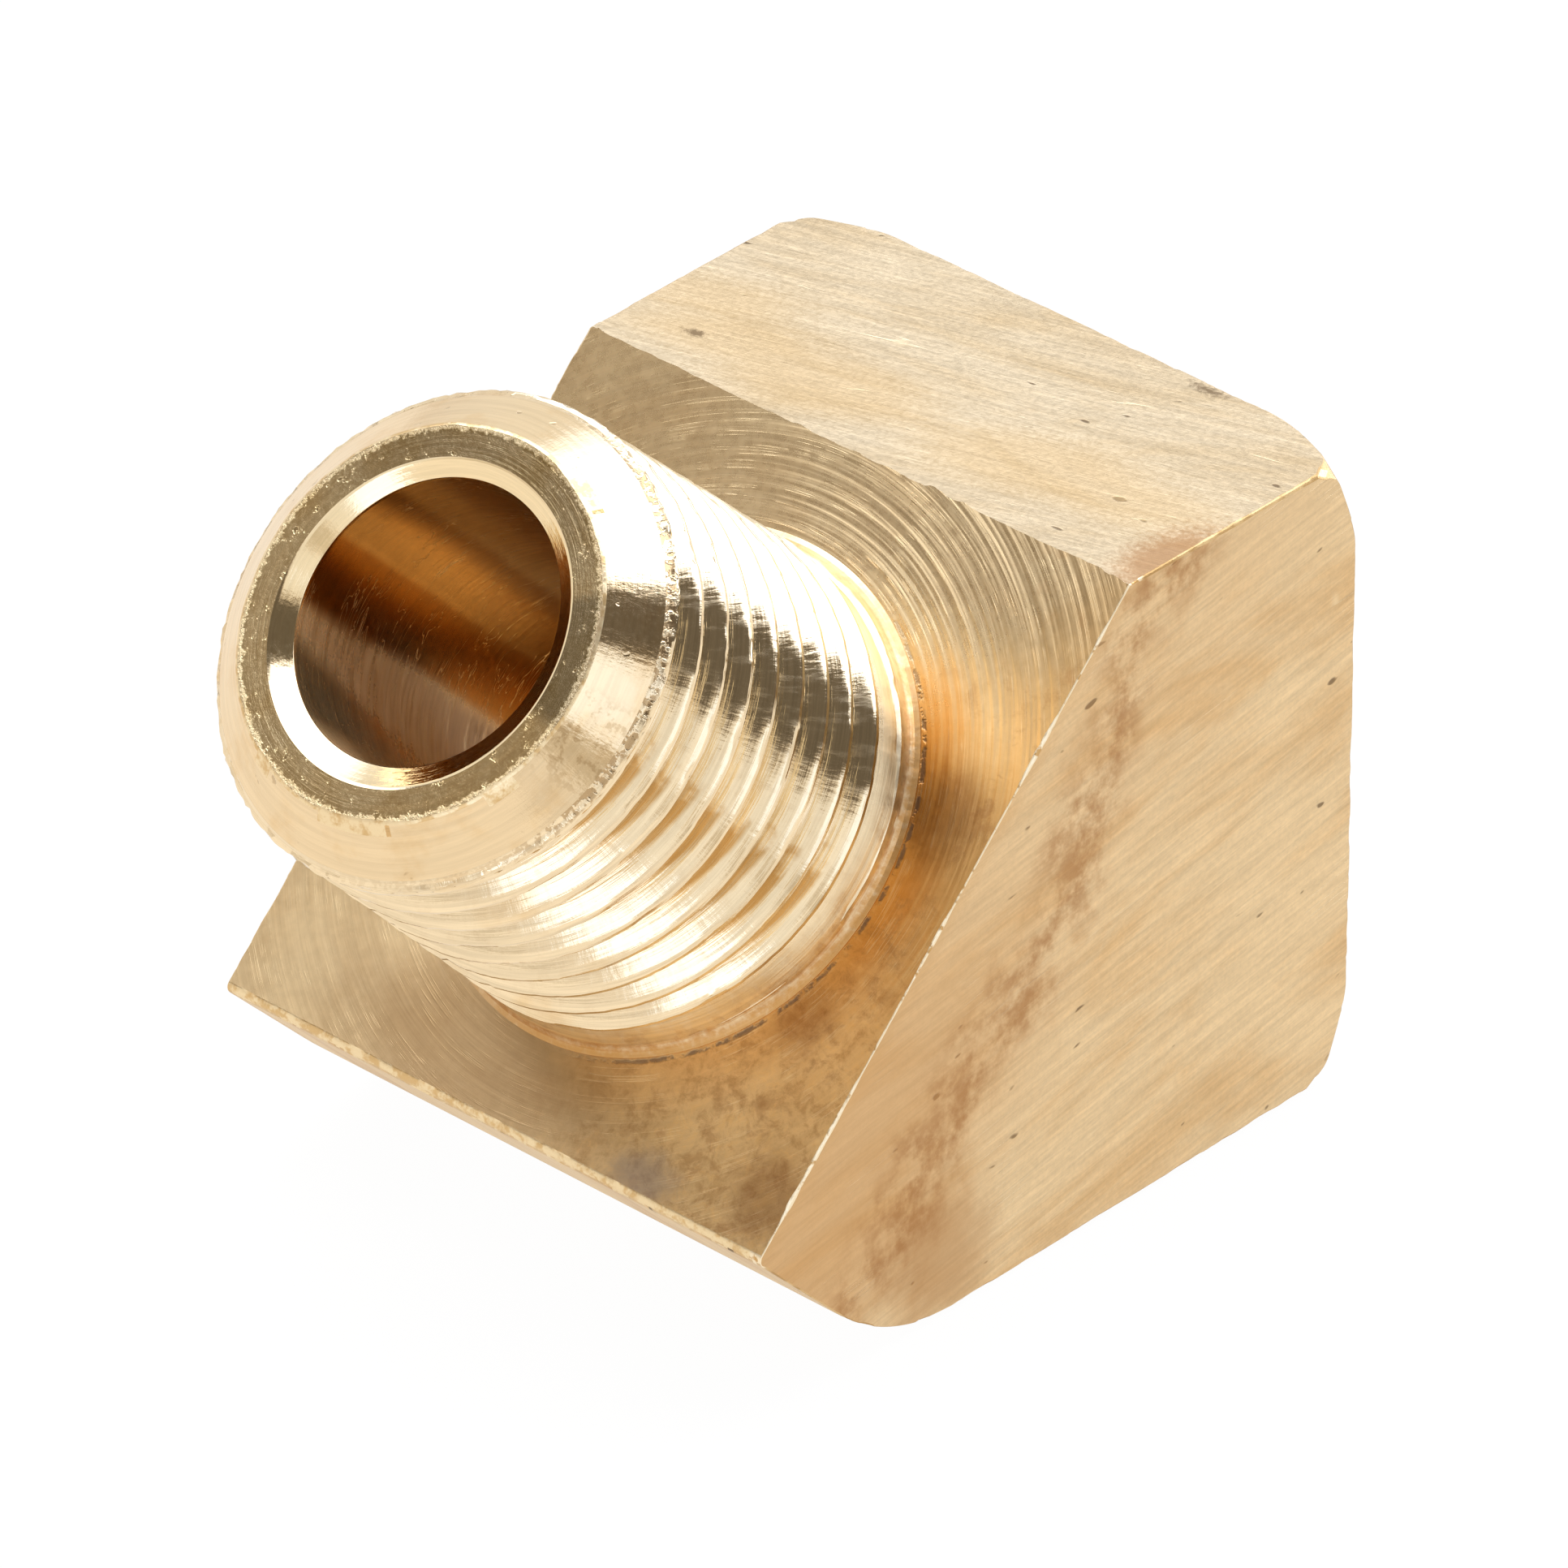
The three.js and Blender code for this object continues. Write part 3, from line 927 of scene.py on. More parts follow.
def top_face():
    slant = math.radians(17)
    run = unit(math.cos(slant), math.sin(slant), 0)

    def marks(pos, tint, grain, cloud):
        ragged = (grain - 0.5) * 1.2
        stains = [(-4.6, 5.0, 0.35), (-2.3, 4.9, 0.5), (3.0, 5.5, 0.6), (5.1, 5.7, 0.35),
                  (-6.0, 6.0, 0.2)]  # x, y, radius
        stained = reduce(larger, [
            patch(pos, (x, y, HALF), radius, soft=1, ragged=ragged, stretch=(run, 2.4))
            for x, y, radius in stains])
        tint = mix(stained * 0.38, tint, srgb(214, 182, 128))
        corner = patch(pos, (HALF - 0.1, 4.6, HALF), radius=0.35, soft=0.8, ragged=ragged,
                       stretch=(Y_AXIS, 1.8))
        tint = mix(corner * 0.7, tint, BROWN)
        dark = larger(
            patch(pos, (-5.43, 4.64, HALF), radius=0.04, soft=0.14, ragged=ragged * 0.25,
                  stretch=(run, 2.0)),
            patch(pos, (3.43, 9.86, HALF), radius=0.02, soft=0.2, ragged=ragged * 0.3,
                  stretch=(X_AXIS, 3.0)))
        return mix(dark * 0.75, tint, DARK), larger(corner, dark)

    drawn_face(run, unit(-run.y, run.x, 0), 2.0, srgb(217, 201, 172), srgb(202, 180, 143), marks)


def side_face():
    slant = math.radians(9)
    run = unit(0, math.cos(slant), math.sin(slant))

    def marks(pos, tint, grain, cloud):
        ragged = (noise(pos, scale=0.55, detail=5, rough=0.6, dist=0.4) - 0.5) * 3.4
        edge = SHOULDER_D - dot(pos, NIPPLE_AXIS)       # distance behind the shoulder
        upslope = dot(pos, UPSLOPE)
        centre = upslope.ramp(8, 0, to=(0.9, 3.4))
        band = abs(edge + ragged - centre).ramp(0, 1.7, to=(1, 0))
        band = band * noise(pos, scale=1.5, detail=5, rough=0.65).ramp(0.36, 0.66)
        wide = (edge + ragged * 1.3).ramp(6.8, 2.4)
        wide = wide * upslope.ramp(3, -4, to=(0.25, 1))
        tint = mix(wide * 0.55, tint, srgb(200, 154, 98))
        heel = patch(pos, (HALF, -1.9, -5.8), radius=0.5, soft=1.7, ragged=ragged * 0.5)
        tint = mix(heel * 0.55, tint, srgb(178, 134, 84))
        tint = mix(band * 0.70, tint, srgb(170, 122, 72))
        near = (edge + (grain - 0.5) * 0.4).ramp(0.5, 0.1)
        return mix(near * 0.25, tint, srgb(214, 176, 124)), band

    drawn_face(run, unit(0, -run.z, run.y), 14.0, srgb(234, 212, 174), srgb(222, 190, 143), marks)


def base_face():
    def marks(pos, tint, grain, cloud):
        return tint, cloud * 0.0

    drawn_face(Y_AXIS, X_AXIS, 33.0, srgb(228, 203, 160), srgb(204, 168, 118), marks)


# --------------------------------------------------------------------------
# Machined faces. side is the share towards +X, rise the share up the slope or towards +Z.
# --------------------------------------------------------------------------
def shoulder_face():
    pos, side, rise, radius = polar(UPSLOPE)
    fine, medium = ring_marks(side, rise, radius, fine=5.5, medium=2.4, seed=3)
    deep = ring_noise(side, rise, radius * 6.5, around=1.1, detail=1.5)
    cloud = noise(pos, scale=0.55, detail=5, rough=0.65, dist=0.5)
    grain = noise(pos, scale=5, detail=3, rough=0.6)
    tint = mix(cloud.ramp(0.35, 0.7), srgb(234, 210, 166), srgb(222, 195, 150))
    tint = shade(tint, fine, 0.3, 0.7, to=(0.93, 1.05))
    # painted shade: the shoulder is darker towards its upper +X part, lighter at lower left, and
    # darker along its lower edge
    upper = dot(pos, UPSLOPE) * 0.8 + dot(pos, X_AXIS) * 0.6
    tint = shade(tint, upper, 0.5, 7, to=(1.08, 0.80))
    tint = shade(tint, dot(pos, UPSLOPE), -6.6, -5.4, to=(0.93, 1))
    lines = contour(deep, 0.03) * noise(pos, scale=0.8, detail=3, rough=0.6).ramp(0.42, 0.6)
    tint = mix(lines * 0.30, tint, srgb(250, 228, 186))
    # tarnish, strongest on the +X side of the nipple
    x, up = dot(pos, X_AXIS), dot(pos, UPSLOPE)
    ragged = (noise(pos, scale=0.9, detail=5, rough=0.68) - 0.5) * 3.4
    warm = (x + up * -0.35 + ragged).ramp(2.4, 6.5)
    tint = mix(warm * up.ramp(-4, 1, to=(0.22, 0.42)), tint, srgb(232, 182, 106))
    near = (radius + ragged * 0.3).ramp(5.6, 7, to=(1, 0))
    near = near * (x + up * -0.35 + ragged * 0.6).ramp(1.8, 3.8)
    tint = mix(near * up.ramp(-4, 0, to=(0.35, 0.75)), tint, srgb(224, 160, 68))
    spots = noise(pos, scale=1.25, detail=5, rough=0.7, dist=0.3).ramp(0.52, 0.66)
    brown = spots * (x + up * -0.25 + ragged).ramp(2, 6)
    tint = mix(brown * 0.42, tint, srgb(168, 122, 74))
    # speckled oxide and fine swirls over the stained half
    stained = ((x + up * -0.25 + ragged * 0.8).ramp(1, 4.5)
               * up.ramp(1.5, -2.5, to=(0.12, 1)))
    mottle = noise(pos, scale=2.6, detail=6, rough=0.72, dist=0.4)
    tint = mix(stained * mottle.ramp(0.46, 0.68) * 0.42, tint, srgb(158, 110, 58))
    tint = mix(stained * mottle.ramp(0.48, 0.34) * 0.38, tint, srgb(250, 212, 148))
    swirl = noise(vec(side * 0.9 + radius * 0.10, rise * 0.9 - radius * 0.12, radius * 7.5),
                  detail=2, rough=0.55)
    arcs = contour(swirl, 0.020) * noise(pos, scale=1.1, detail=3, rough=0.6).ramp(0.44, 0.60)
    tint = mix(arcs * 0.38, tint, srgb(252, 230, 186))

    # a soft patch on the shoulder, used for the real stains and for a painted shadow under the
    # nipple
    def stain_and_shadow_patch(across, slope, size, soft, rag, stretch=None):
        centre = Vector((across, 0, 0)) + UPSLOPE * slope + NIPPLE_AXIS * SHOULDER_D
        return patch(pos, centre, size, soft, ragged * rag, stretch)

    for across, slope, size in ((6.0, 2.0, 0.35), (6.6, -6.2, 0.4), (5.4, -2.9, 0.25)):
        spot = stain_and_shadow_patch(across, slope, size, soft=0.9, rag=0.35)
        tint = mix(spot * 0.45, tint, srgb(140, 92, 50))
    blue = stain_and_shadow_patch(3.8, -7.0, size=0.15, soft=0.7, rag=0.3, stretch=(X_AXIS, 1.6))
    tint = mix(blue * 0.5, tint, srgb(150, 146, 150))
    tint = shade(tint, grain, 0.3, 0.7, to=(0.97, 1.02))
    # broken dark line round the nipple's foot: a painted shadow over a small groove in the bump
    line = abs(radius + (grain - 0.5) * 0.10 - (RING_R + 0.07)).ramp(0.02, 0.075, to=(1, 0))
    line = line * (x + up * -0.2).ramp(0.5, 4.5, to=(0, 1))
    line = line * noise(pos, scale=2.6, detail=3, rough=0.7).ramp(0.40, 0.55)
    tint = mix(line * 0.7, tint, srgb(104, 98, 98))
    # painted shadow on the shoulder below the nipple
    nipple_shadow = stain_and_shadow_patch(-1.2, -6.3, size=0.5, soft=2, rag=0.4, stretch=(X_AXIS, 2.2))
    tint = mix(nipple_shadow * 0.6, tint, srgb(166, 130, 88))
    grooved = (side * 0.75 + rise * 0.65).ramp(0.2, 0.9)
    relief = fine * 0.30 + stained * mottle * 0.5 + (medium * 0.40 + arcs * 0.12)
    relief = relief + deep * grooved * 1.2
    relief = relief - line * 0.6
    lower = (x * -0.3 - up).ramp(-2, 5, to=(0, 0.10))
    metal(tint,
          rough=grain.ramp(0.3, 0.7, to=(0.26, 0.29)) + lower + (brown * 0.06 + warm * 0.07),
          normal=bump(relief, microns=16), Anisotropic=0.5,
          Tangent=vector_math("ADD", (scaled(X_AXIS, side), scaled(UPSLOPE, rise))))


def turned_face():
    pos, side, rise, radius = polar(Z_AXIS)
    depth = radius - dot(pos, Y_AXIS)
    fine, medium = ring_marks(side, rise, depth, fine=15, medium=4, seed=7)
    cloud = noise(pos, scale=0.5, detail=5, rough=0.65, dist=0.5)
    grain = noise(pos, scale=8, detail=4, rough=0.7)
    tint = mix(cloud.ramp(0.4, 0.75, to=(0, 0.8)), srgb(238, 216, 174), srgb(214, 176, 116))
    tint = shade(tint, fine, 0.3, 0.7, to=(0.90, 1.05))
    tint = shade(tint, grain, 0.3, 0.7, to=(0.94, 1.04))
    metal(tint, rough=grain.ramp(0.3, 0.7, to=(0.17, 0.28)),
          normal=bump(fine * 0.4 + (medium * 0.3 + grain * 0.2), microns=15))


def thread_metal():
    pos, side, rise, radius = polar(UPSLOPE)
    height = dot(pos, NIPPLE_AXIS)
    fine, medium = ring_marks(side, rise, height - radius * 0.6, fine=11, medium=4, seed=1)
    grain = noise(pos, scale=6, detail=3, rough=0.65)
    depth = (TIP - LEAD_D - height) * TAPER + LEAD_R - radius       # below the crests
    cloud = ring_noise(side, rise, height * 0.35, around=1.6, detail=4, rough=0.6)
    # deeper in the roots the brass is more golden: tarnish, and painted shade of the recess
    tint = mix(depth.ramp(0.30, 0.60, to=(0, 0.8)), srgb(250, 234, 202), srgb(222, 182, 122))
    # gold in the roots, on the lower +X side of the nipple: part tarnish, part painted reflection
    rim = (depth + (cloud - 0.5) * 0.30 + (rise + 0.10) * 0.55).ramp(0.13, 0.24)
    wander = (noise(pos, scale=2.4, detail=3, rough=0.6) - 0.5) * 0.40
    rim = rim * (rise.ramp(-0.62, -0.44) * (rise + wander).ramp(0.02, -0.14))
    rim = rim * side.ramp(0.2, 0.6)
    tint = mix(rim * 0.8, tint, srgb(202, 158, 92))
    tint = mix(cloud.ramp(0.54, 0.75, to=(0, 0.45)), tint, srgb(222, 178, 104))
    tint = shade(tint, fine, 0.25, 0.75, to=(0.84, 1.06))
    # the root of the nipple is tarnished
    low = (height + (grain - 0.5) * 0.35).ramp(BASE + 0.02, BASE + 0.28, to=(1, 0))
    grime = noise(pos, scale=2.2, detail=4, rough=0.7).ramp(0.5, 0.62)
    grime = grime * height.ramp(BASE + 0.15, BASE + 0.9, to=(0.45, 0.10))
    tint = mix(grime * 0.6, tint, srgb(176, 134, 84))
    stained = (side * 1.0 + rise * -0.5).ramp(-0.5, 0.6)
    tint = mix(low * stained * 0.85, tint, srgb(204, 152, 80))
    # torn metal where the die cut, and the burr where the last turn meets the lead
    tear = ring_noise(side, rise, height * 2.2, around=26, detail=3, rough=0.65)
    edge = TIP - LEAD_D
    burr = (height + (grain - 0.5) * 0.16).ramp(edge - 0.05, edge + 0.03)
    burr = burr * (side.ramp(-0.15, 0.45, to=(0.15, 1)) * rise.ramp(-0.80, -0.30, to=(0.25, 1)))
    bead = ring_noise(side, rise, height * 9, around=34, detail=2, rough=0.6).ramp(0.44, 0.58)
    tint = mix(burr * bead.ramp(0, 1, to=(0.70, 0)), tint, srgb(166, 132, 84))
    relief = fine * 0.45 + (medium * 0.30 + grain * 0.12)
    relief = relief + (tear * 0.30 + burr * bead * 0.6)
    runout = height.ramp(BASE + 0.75, BASE + 1.35, to=(0.20, 0))
    metal(tint,
          rough=runout + tear.ramp(0.46, 0.68, to=(0.08, 0.19)) + (burr * 0.12 + low * 0.05),
          normal=bump(relief, microns=14))


def lead_metal():
    pos, side, rise, radius = polar(UPSLOPE)
    fine, medium = ring_marks(side, rise, radius, fine=12, medium=4, seed=12)
    grain = noise(pos, scale=9, detail=3, rough=0.7)
    cloud = noise(pos, scale=0.9, detail=4, rough=0.6)
    tint = mix(cloud.ramp(0.45, 0.7, to=(0, 0.6)), srgb(242, 222, 186), srgb(230, 200, 152))
    tint = shade(tint, fine, 0.3, 0.7, to=(0.93, 1.04))
    nick = noise(pos, scale=2.4).ramp(0.70, 0.74)
    tint = mix(nick * 0.4, tint, srgb(150, 120, 78))
    # a painted dark reflection on the +X side, broken up by noise
    dark_reflection_sector = side.ramp(0.80, 0.9) * rise.ramp(-0.42, -0.25) * rise.ramp(0, 0.12, to=(1, 0))
    spot = noise(pos, scale=3.2, detail=3, rough=0.65).ramp(0.50, 0.60) * dark_reflection_sector
    tint = mix(spot * 0.45, tint, srgb(176, 146, 100))
    relief = fine * 0.4 + (medium * 0.35 + grain * 0.25) - nick * 0.6
    tear = ring_noise(side, rise, radius * 2.2, around=26, detail=3, rough=0.65)
    metal(tint, rough=grain.ramp(0.3, 0.7, to=(0.08, 0.15)),
          normal=bump(relief + tear * 0.5, microns=8))


def nose_metal():
    pos, side, rise, radius = polar(UPSLOPE)
    fine, medium = ring_marks(side, rise, radius, fine=18, medium=5, seed=4)
    grain = noise(pos, scale=9, detail=4, rough=0.7)
    cloud = noise(pos, scale=0.8, detail=4, rough=0.6)
    tint = mix(cloud.ramp(0.4, 0.7), srgb(238, 218, 174), srgb(224, 198, 146))
    tint = shade(tint, fine, 0.3, 0.7, to=(0.93, 1.05))
    # painted shade: the nose is darker towards its top
    tint = shade(tint, rise, 0.2, 0.9, to=(1, 0.70))
    # painted dark reflection across the nose's +X side, broken up by grain
    dark = side.ramp(0.70, 0.93) * (rise.ramp(-0.30, -0.05) * rise.ramp(0.45, 0.62, to=(1, 0)))
    tint = shade(tint, dark + (grain - 0.5) * 0.5, 0.3, 0.9, to=(1, 0.50))
    rim = (radius + (grain - 0.5) * 0.35).ramp(NOSE_R - 0.14, NOSE_R - 0.05)
    tint = mix(rim * 0.5, tint, FRESH)
    relief = fine * 0.35 + (medium * 0.25 + grain * 0.35)
    relief = relief + rim * grain * 1.2
    pit = noise(pos, scale=3.4, detail=3, rough=0.7).ramp(0.62, 0.70)
    tint = mix(pit * 0.5, tint, srgb(150, 124, 84))
    metal(tint, rough=grain.ramp(0.3, 0.7, to=(0.13, 0.22)),
          normal=bump(relief - pit * 0.8, microns=11))


def mouth_metal():
    pos, side, rise, radius = polar(UPSLOPE)
    fine = ring_noise(side, rise, radius * 14 + 6, around=1.6, detail=3, rough=0.65)
    grain = noise(pos, scale=8, detail=3, rough=0.6)
    tint = shade(srgb(248, 230, 192), fine, 0.3, 0.7, to=(0.93, 1.03))
    metal(tint, rough=grain.ramp(0.3, 0.7, to=(0.06, 0.13)),
          normal=bump(fine * 0.3 + grain * 0.25, microns=9))


def bore_metal():
    pos, side, rise, radius = polar(UPSLOPE)
    height = dot(pos, NIPPLE_AXIS)
    fine, medium = ring_marks(side, rise, height, fine=9, medium=2.5, seed=2)
    swirl = noise(vec(side * 2.2 + height * 0.25, rise * 2.2 - height * 0.15, height * 4.5),
                  detail=2, rough=0.6, dist=0.5)
    grain = noise(pos, scale=6, detail=3, rough=0.6)
    cloud = ring_noise(side, rise, height * 0.3, around=1.4, detail=4, rough=0.6)
    tint = mix(cloud.ramp(0.35, 0.65), srgb(238, 208, 154), srgb(232, 198, 138))
    # painted reflections in bands along the -X wall: a gold band, a darker band, and a bright band
    # that is also rougher and less metallic
    level = rise + (cloud - 0.5) * 0.10
    left = side.ramp(-0.2, 0.1, to=(1, 0))
    painted_gold_band = level.ramp(0.26, 0.36) * level.ramp(0.66, 0.74, to=(1, 0)) * left
    painted_dark_band = level.ramp(-0.24, -0.14) * level.ramp(0.26, 0.36, to=(1, 0)) * left
    lower = level + (height - 6.0) * -0.055
    painted_bright_band = (lower.ramp(-0.86, -0.68, to=(0.35, 1)) * level.ramp(-0.28, -0.10, to=(1, 0))
             * left)
    hair = noise(vec(side * 1.4 + height * 0.15, rise * 1.4 - height * 0.30, height * 7.5),
                 detail=3, rough=0.65)
    painted_bright_band = painted_bright_band * (height.ramp(11.8, 7.5, to=(0.45, 1)) * hair.ramp(0.34, 0.60, to=(0.60, 1)))
    tint = mix(painted_gold_band * 0.9, tint, srgb(182, 138, 80))
    tint = mix(painted_dark_band * 0.9, tint, srgb(176, 122, 60))
    tint = mix(painted_bright_band * 0.95, tint, srgb(255, 222, 184))
    # the lower +X wall, by the nose, is more matt
    near = (side * 0.8 - rise * 0.6).ramp(0.05, 0.45) * height.ramp(TIP - 2.4, TIP - 1.2)
    tint = mix(near * 0.8, tint, srgb(226, 182, 136))
    tint = shade(tint, fine, 0.3, 0.7, to=(0.90, 1.04))
    line = contour(swirl, 0.010) * noise(pos, scale=0.9).ramp(0.42, 0.58)
    tint = mix(line * 0.6, tint, srgb(252, 226, 180))
    relief = fine * 0.45 + (medium * 0.20 + line * 0.25)
    metal(tint, rough=grain.ramp(0.3, 0.7, to=(0.16, 0.20)) + (painted_bright_band * 0.20 + line * 0.16),
          normal=bump(relief + hair * 0.4, microns=4), skin=painted_bright_band * 0.85 + near * 0.6,
          Anisotropic=0.75, Tangent=NIPPLE_AXIS)


def port_metal():
    pos, side, rise, radius = polar(Z_AXIS)
    depth = dot(pos, Y_AXIS) + radius * 0.6
    fine, medium = ring_marks(side, rise, depth, fine=16, medium=5, seed=5)
    grain = noise(pos, scale=8, detail=3, rough=0.6)
    tint = mix(grain.ramp(0.35, 0.65), srgb(238, 212, 160), srgb(222, 184, 122))
    tint = shade(tint, fine, 0.3, 0.7, to=(0.88, 1.05))
    metal(tint, rough=grain.ramp(0.3, 0.7, to=(0.12, 0.22)),
          normal=bump(fine * 0.4 + medium * 0.3, microns=10))


def edge_metal():
    pos = position()
    grain = noise(pos, scale=6, detail=4, rough=0.7)
    broad = noise(pos, scale=1.1, detail=3, rough=0.6)
    # edges of the shoulder are freshly cut, most of all the +X one
    cut = dot(pos, NIPPLE_AXIS).ramp(SHOULDER_D - 0.35, SHOULDER_D - 0.2)
    old = mix(broad.ramp(0.4, 0.6), srgb(222, 194, 146), srgb(190, 156, 106))
    torn = noise(pos, scale=3.2, detail=3, rough=0.7)
    right_side = dot(pos, X_AXIS).ramp(HALF - 0.35, HALF - 0.25)
    new = mix(torn.ramp(0.42, 0.62), srgb(244, 226, 188), srgb(220, 190, 140))
    bright = mix(torn.ramp(0.54, 0.66), srgb(254, 242, 214), srgb(206, 168, 112))
    new = mix(right_side, new, bright)
    metal(mix(cut, old, new), rough=blend(cut, 0.38, 0.30), normal=bump(grain, microns=14))


def seat_metal():
    pos, side, rise, radius = polar(Z_AXIS)
    depth = dot(pos, Y_AXIS) - radius
    fine, medium = ring_marks(side, rise, depth, fine=14, medium=4, seed=8)
    grain = noise(pos, scale=7, detail=3, rough=0.6)
    tint = mix(grain.ramp(0.35, 0.65), srgb(236, 204, 142), srgb(216, 172, 100))
    tint = shade(tint, fine, 0.3, 0.7, to=(0.92, 1.04))
    metal(tint, rough=grain.ramp(0.3, 0.7, to=(0.10, 0.18)),
          normal=bump(fine * 0.35 + medium * 0.25, microns=8))


BUILD = {
    "edge": edge_metal, "top": top_face, "side": side_face, "base": base_face,
    "shoulder": shoulder_face, "turned": turned_face, "thread": thread_metal,
    "lead": lead_metal, "nose": nose_metal, "mouth": mouth_metal, "bore": bore_metal,
    "port": port_metal,
}

# --------------------------------------------------------------------------
# Assembly, still in millimetres, then set on z = 0 in metres
# --------------------------------------------------------------------------
body = make_body()
seat = make_seat()
region = classify(body.data)
smooth_normals(body)
exact_normals(body.data, region)
smooth_normals(seat)
body.data.materials.clear()
for name in REGIONS:
    body.data.materials.append(material("brass_" + name, BUILD[name]))
body.data.polygons.foreach_set("material_index", region.astype(np.int32))
seat.data.materials.clear()
seat.data.materials.append(material("brass_seat", seat_metal))

for ob in (body, seat):
    ob.data.transform(Matrix.Translation((0, 0, HALF)))
    ob.data.transform(Matrix.Scale(0.001, 4))
    ob.data.update()

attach(body, "root")
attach(seat, "root")
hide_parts("elbow_body")
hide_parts("flare_seat")

# --------------------------------------------------------------------------
# Camera: a long lens above the fitting, on its +X and -Y side; metres
# --------------------------------------------------------------------------
CAMERA_AT = Vector((0.1989068, -0.2139796, 0.1934243))
CAMERA_RIGHT = Vector((0.7344753, 0.6786354, 0.0001408)).normalized()
CAMERA_BACK = Vector((0.5731545, -0.6204263, 0.5353178)).normalized()

camera_data = bpy.data.cameras.new("cam")
camera_data.sensor_width = 36
camera_data.lens = 406.6
camera_data.clip_start = 0.01
camera_data.clip_end = 10
camera = bpy.data.objects.new("cam", camera_data)
bpy.context.scene.collection.objects.link(camera)
camera_up = CAMERA_BACK.cross(CAMERA_RIGHT)
camera.matrix_world = Matrix([
    (*row, 1 if i == 3 else 0) if i == 3 else row
    for i, row in enumerate(zip((*CAMERA_RIGHT, 0), (*camera_up, 0), (*CAMERA_BACK, 0),
                                (*CAMERA_AT, 1))) if i < 3] + [(0, 0, 0, 1)])
bpy.context.scene.camera = camera

# --------------------------------------------------------------------------
# Studio: soft light all round, a pale floor
# --------------------------------------------------------------------------
TONE = [  # level of light, its colour; bright panels are cooler than the dim parts of the room
    (0.00, (0.00, 0.00, 0.00)), (0.10, (0.11, 0.09, 0.065)), (0.30, (0.31, 0.25, 0.19)),
    (0.70, (0.70, 0.61, 0.49)), (0.85, (0.86, 0.77, 0.67)), (1.00, (1.00, 0.97, 0.92)),
    (1.15, (1.15, 1.17, 1.24)), (1.50, (1.50, 1.56, 1.75)), (3.00, (3.00, 3.00, 3.10)),
]


def toned(level):
    channels = []
    for k in range(3):
        parts = []
        for (low, dim), (high, bright) in zip(TONE[:-1], TONE[1:]):
            share = calc("MULTIPLY", level - low, 1.0 / (high - low), clamp=True)
            parts.append(share * (bright[k] - dim[k]))
        channels.append(sum(parts[1:], parts[0]))
    return vec(*channels)


def toward(azimuth, elevation):
    """Direction in degrees; azimuth runs from -Y towards +X."""
    a, e = math.radians(azimuth), math.radians(elevation)
    return Vector((math.sin(a) * math.cos(e), -math.cos(a) * math.cos(e), math.sin(e)))


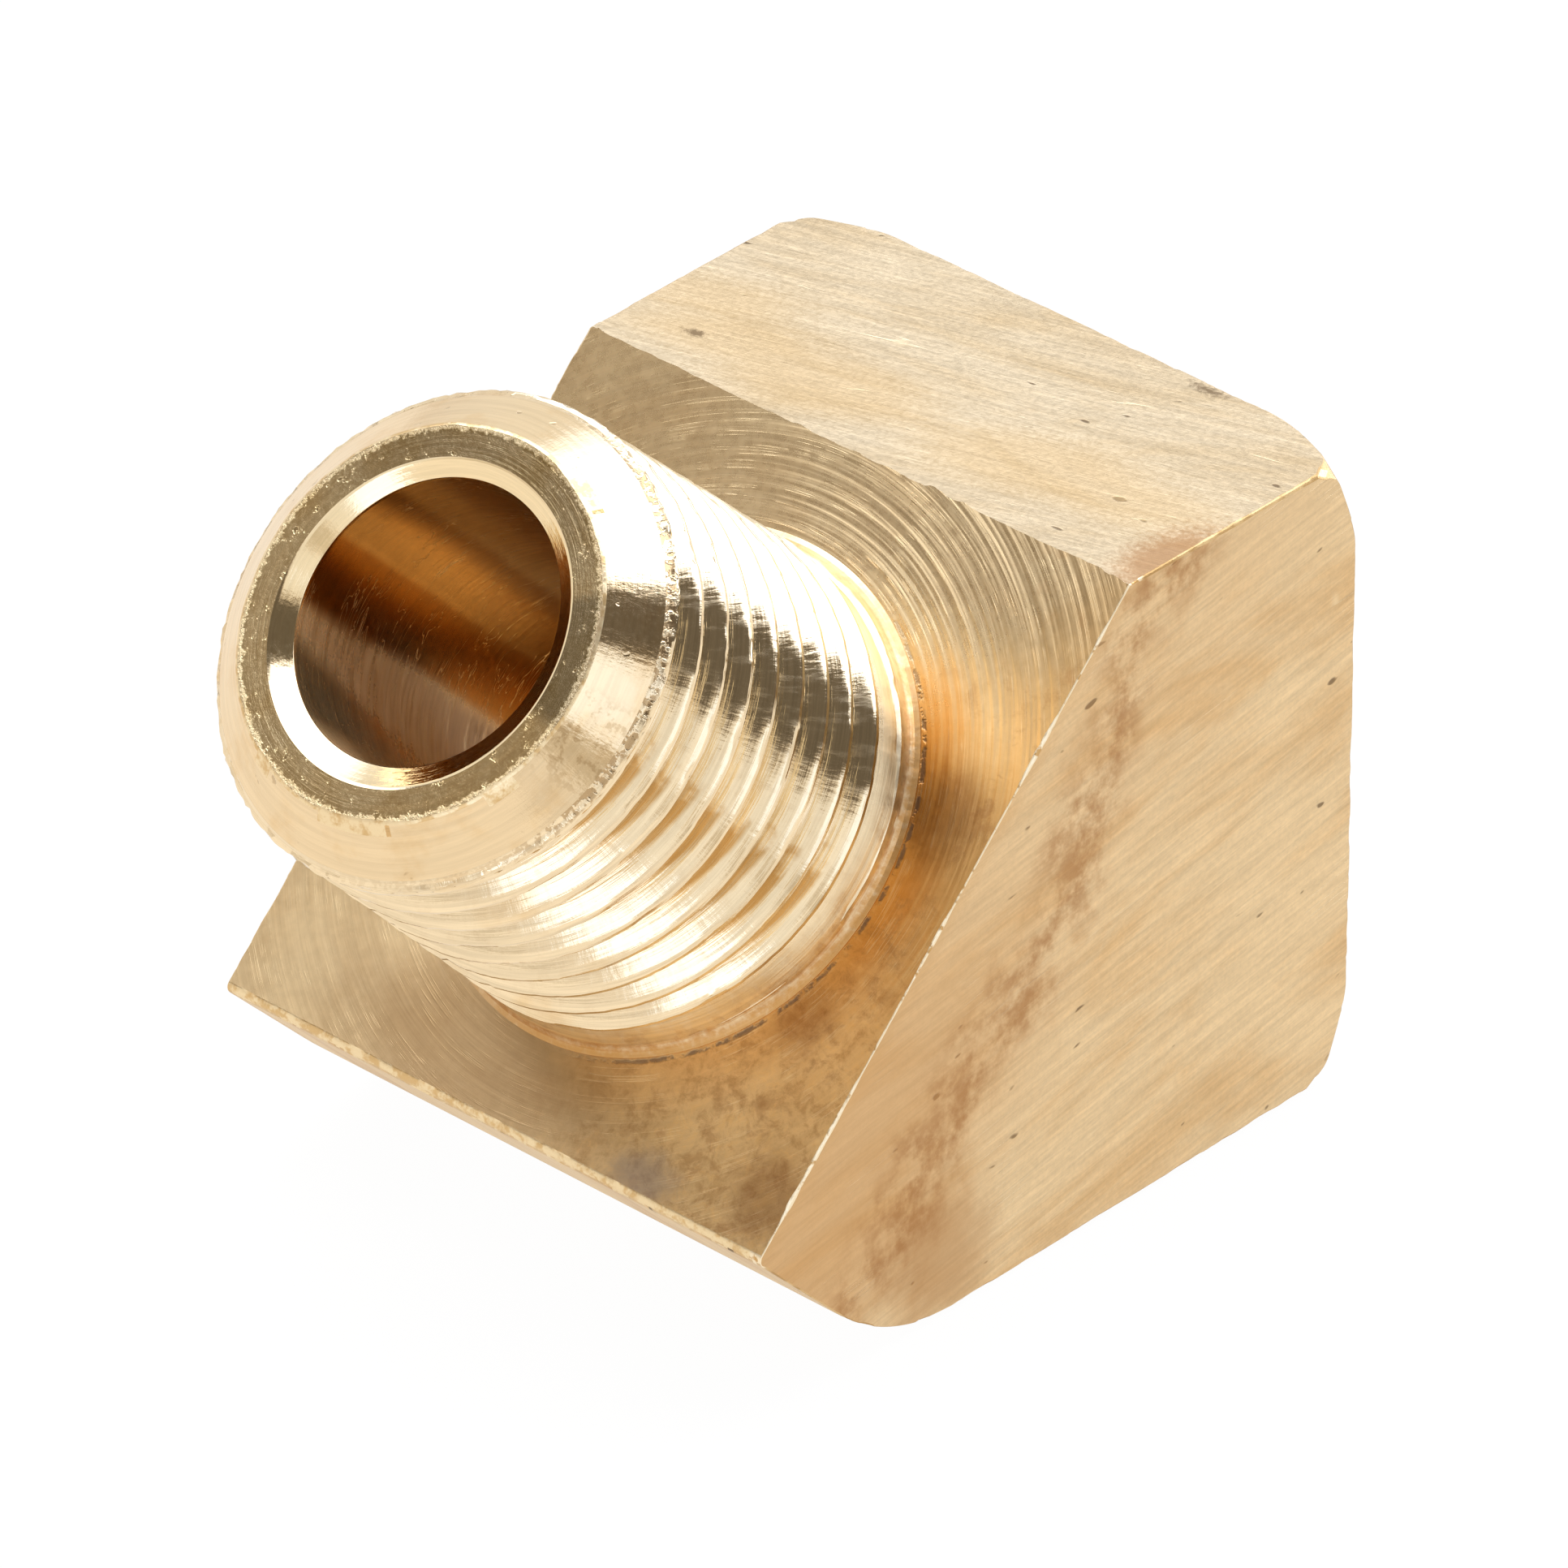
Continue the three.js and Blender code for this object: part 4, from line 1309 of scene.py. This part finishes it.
def sky():
    ray = signal("TexCoord", output="Generated")
    up = signal("SeparateXYZ", (ray,), 2)

    def spot(azimuth, elevation, inner, outer):
        """Round mask, full inside the inner angle and gone outside the outer one."""
        return dot(ray, toward(azimuth, elevation)).ramp(
            math.cos(math.radians(outer)), math.cos(math.radians(inner)))

    def panel(azimuth, elevation, wide, high, soft):
        """Upright rectangular mask; half sizes and soft border in degrees."""
        front = toward(azimuth, elevation)
        side = Vector((0, 0, 1)).cross(front).normalized()
        depth = larger(dot(ray, front), 0.02)
        border = math.tan(math.radians(soft))

        def within(axis, size):
            limit = math.tan(math.radians(size))
            return abs(dot(ray, axis) / depth).ramp(limit, limit + border, to=(1, 0))

        mask = within(side, wide) * within(front.cross(side), high)
        return mask * dot(ray, front).ramp(0.05, 0.15)

    def ceiling(near, across, soft_far, soft):
        """Flat overhead mask. near: range towards the camera; across: range to its right.

        Both are tangents from the zenith. soft_far softens the edge away from the camera.
        """
        depth = larger(up, 0.03)

        def within(axis, limits, soft_low):
            value = dot(ray, axis) / depth
            low, high = limits
            return (value.ramp(low - soft_low, low + soft_low)
                    * value.ramp(high - soft, high + soft, to=(1, 0)))

        mask = within((0.63, -0.77, 0), near, soft_far) * within((0.77, 0.63, 0), across, soft)
        return mask * up.ramp(0.05, 0.12)

    lights = [  # mask, level; a later light covers an earlier one
        # lit background beyond the port
        (panel(azimuth=180, elevation=2, wide=30, high=10, soft=8), 2.8),
        # bright wall on the +X side
        (panel(azimuth=71, elevation=32, wide=12, high=10, soft=6), 1.25),
        # reflector on the -Y side
        (panel(azimuth=11, elevation=4, wide=11, high=11, soft=6), 1.60),
        # dimmer wall towards -X and -Y
        (spot(azimuth=-32, elevation=-4, inner=10, outer=26), 0.74),
        (spot(azimuth=55, elevation=15, inner=3, outer=10), 0.65),
        # dark room around the overhead panel
        (ceiling(near=(-1.0, 0.74), across=(-1.80, 1.75), soft_far=0.12, soft=0.09), 0.135),
        (spot(azimuth=-47, elevation=38, inner=13, outer=27), 0.32),
        # overhead soft panel
        (ceiling(near=(-1.02, 0.13), across=(-1.00, 1.18), soft_far=0.34, soft=0.06), 2.8),
        # the camera
        (spot(azimuth=38.5, elevation=28, inner=2, outer=8), 0.70),
    ]
    level = up.ramp(-0.2, 0.3, to=(0.80, 0.95))
    for mask, light in lights:
        level = blend(mask, level, light)
    room = signal("Background", (toned(level),))
    white = signal("Background", ((1, 1, 1, 1),))
    seen = signal("LightPath", output="Is Camera Ray")
    node("OutputWorld", (signal("MixShader", (seen, room, white)),))


def floor_look():
    """Near white to the camera, warm and a little dimmer in reflections."""
    seen = signal("LightPath", output="Is Camera Ray")
    grain = noise(signal("TexCoord", output="Object"), scale=900)
    paper = mix(seen, (0.10, 0.093, 0.083, 1), (0.038, 0.038, 0.038, 1))
    diffuse = signal("BsdfDiffuse", (shade(paper, grain, 0.2, 0.8, to=(0.985, 1)),))
    glow = signal("Emission", (mix(seen, (0.88, 0.80, 0.70, 1), (0.97, 0.97, 0.97, 1)),
                               blend(seen, 0.98, 1.0)))
    node("OutputMaterial", (signal("AddShader", (diffuse, glow)),))


world = bpy.data.worlds.new("studio")
bpy.context.scene.world = world
world.use_nodes = True
fill_tree(world.node_tree, sky)

FLOOR_HALF = 0.6
FLOOR_Z = -0.0001
floor_corners = [(x * FLOOR_HALF, y * FLOOR_HALF, FLOOR_Z)
                 for x, y in ((-1, -1), (1, -1), (1, 1), (-1, 1))]
floor = new_object("studio_floor", floor_corners, [(0, 1, 2, 3)])
floor.data.materials.append(material("floor_paper", floor_look))

bpy.context.scene.view_settings.view_transform = "Standard"
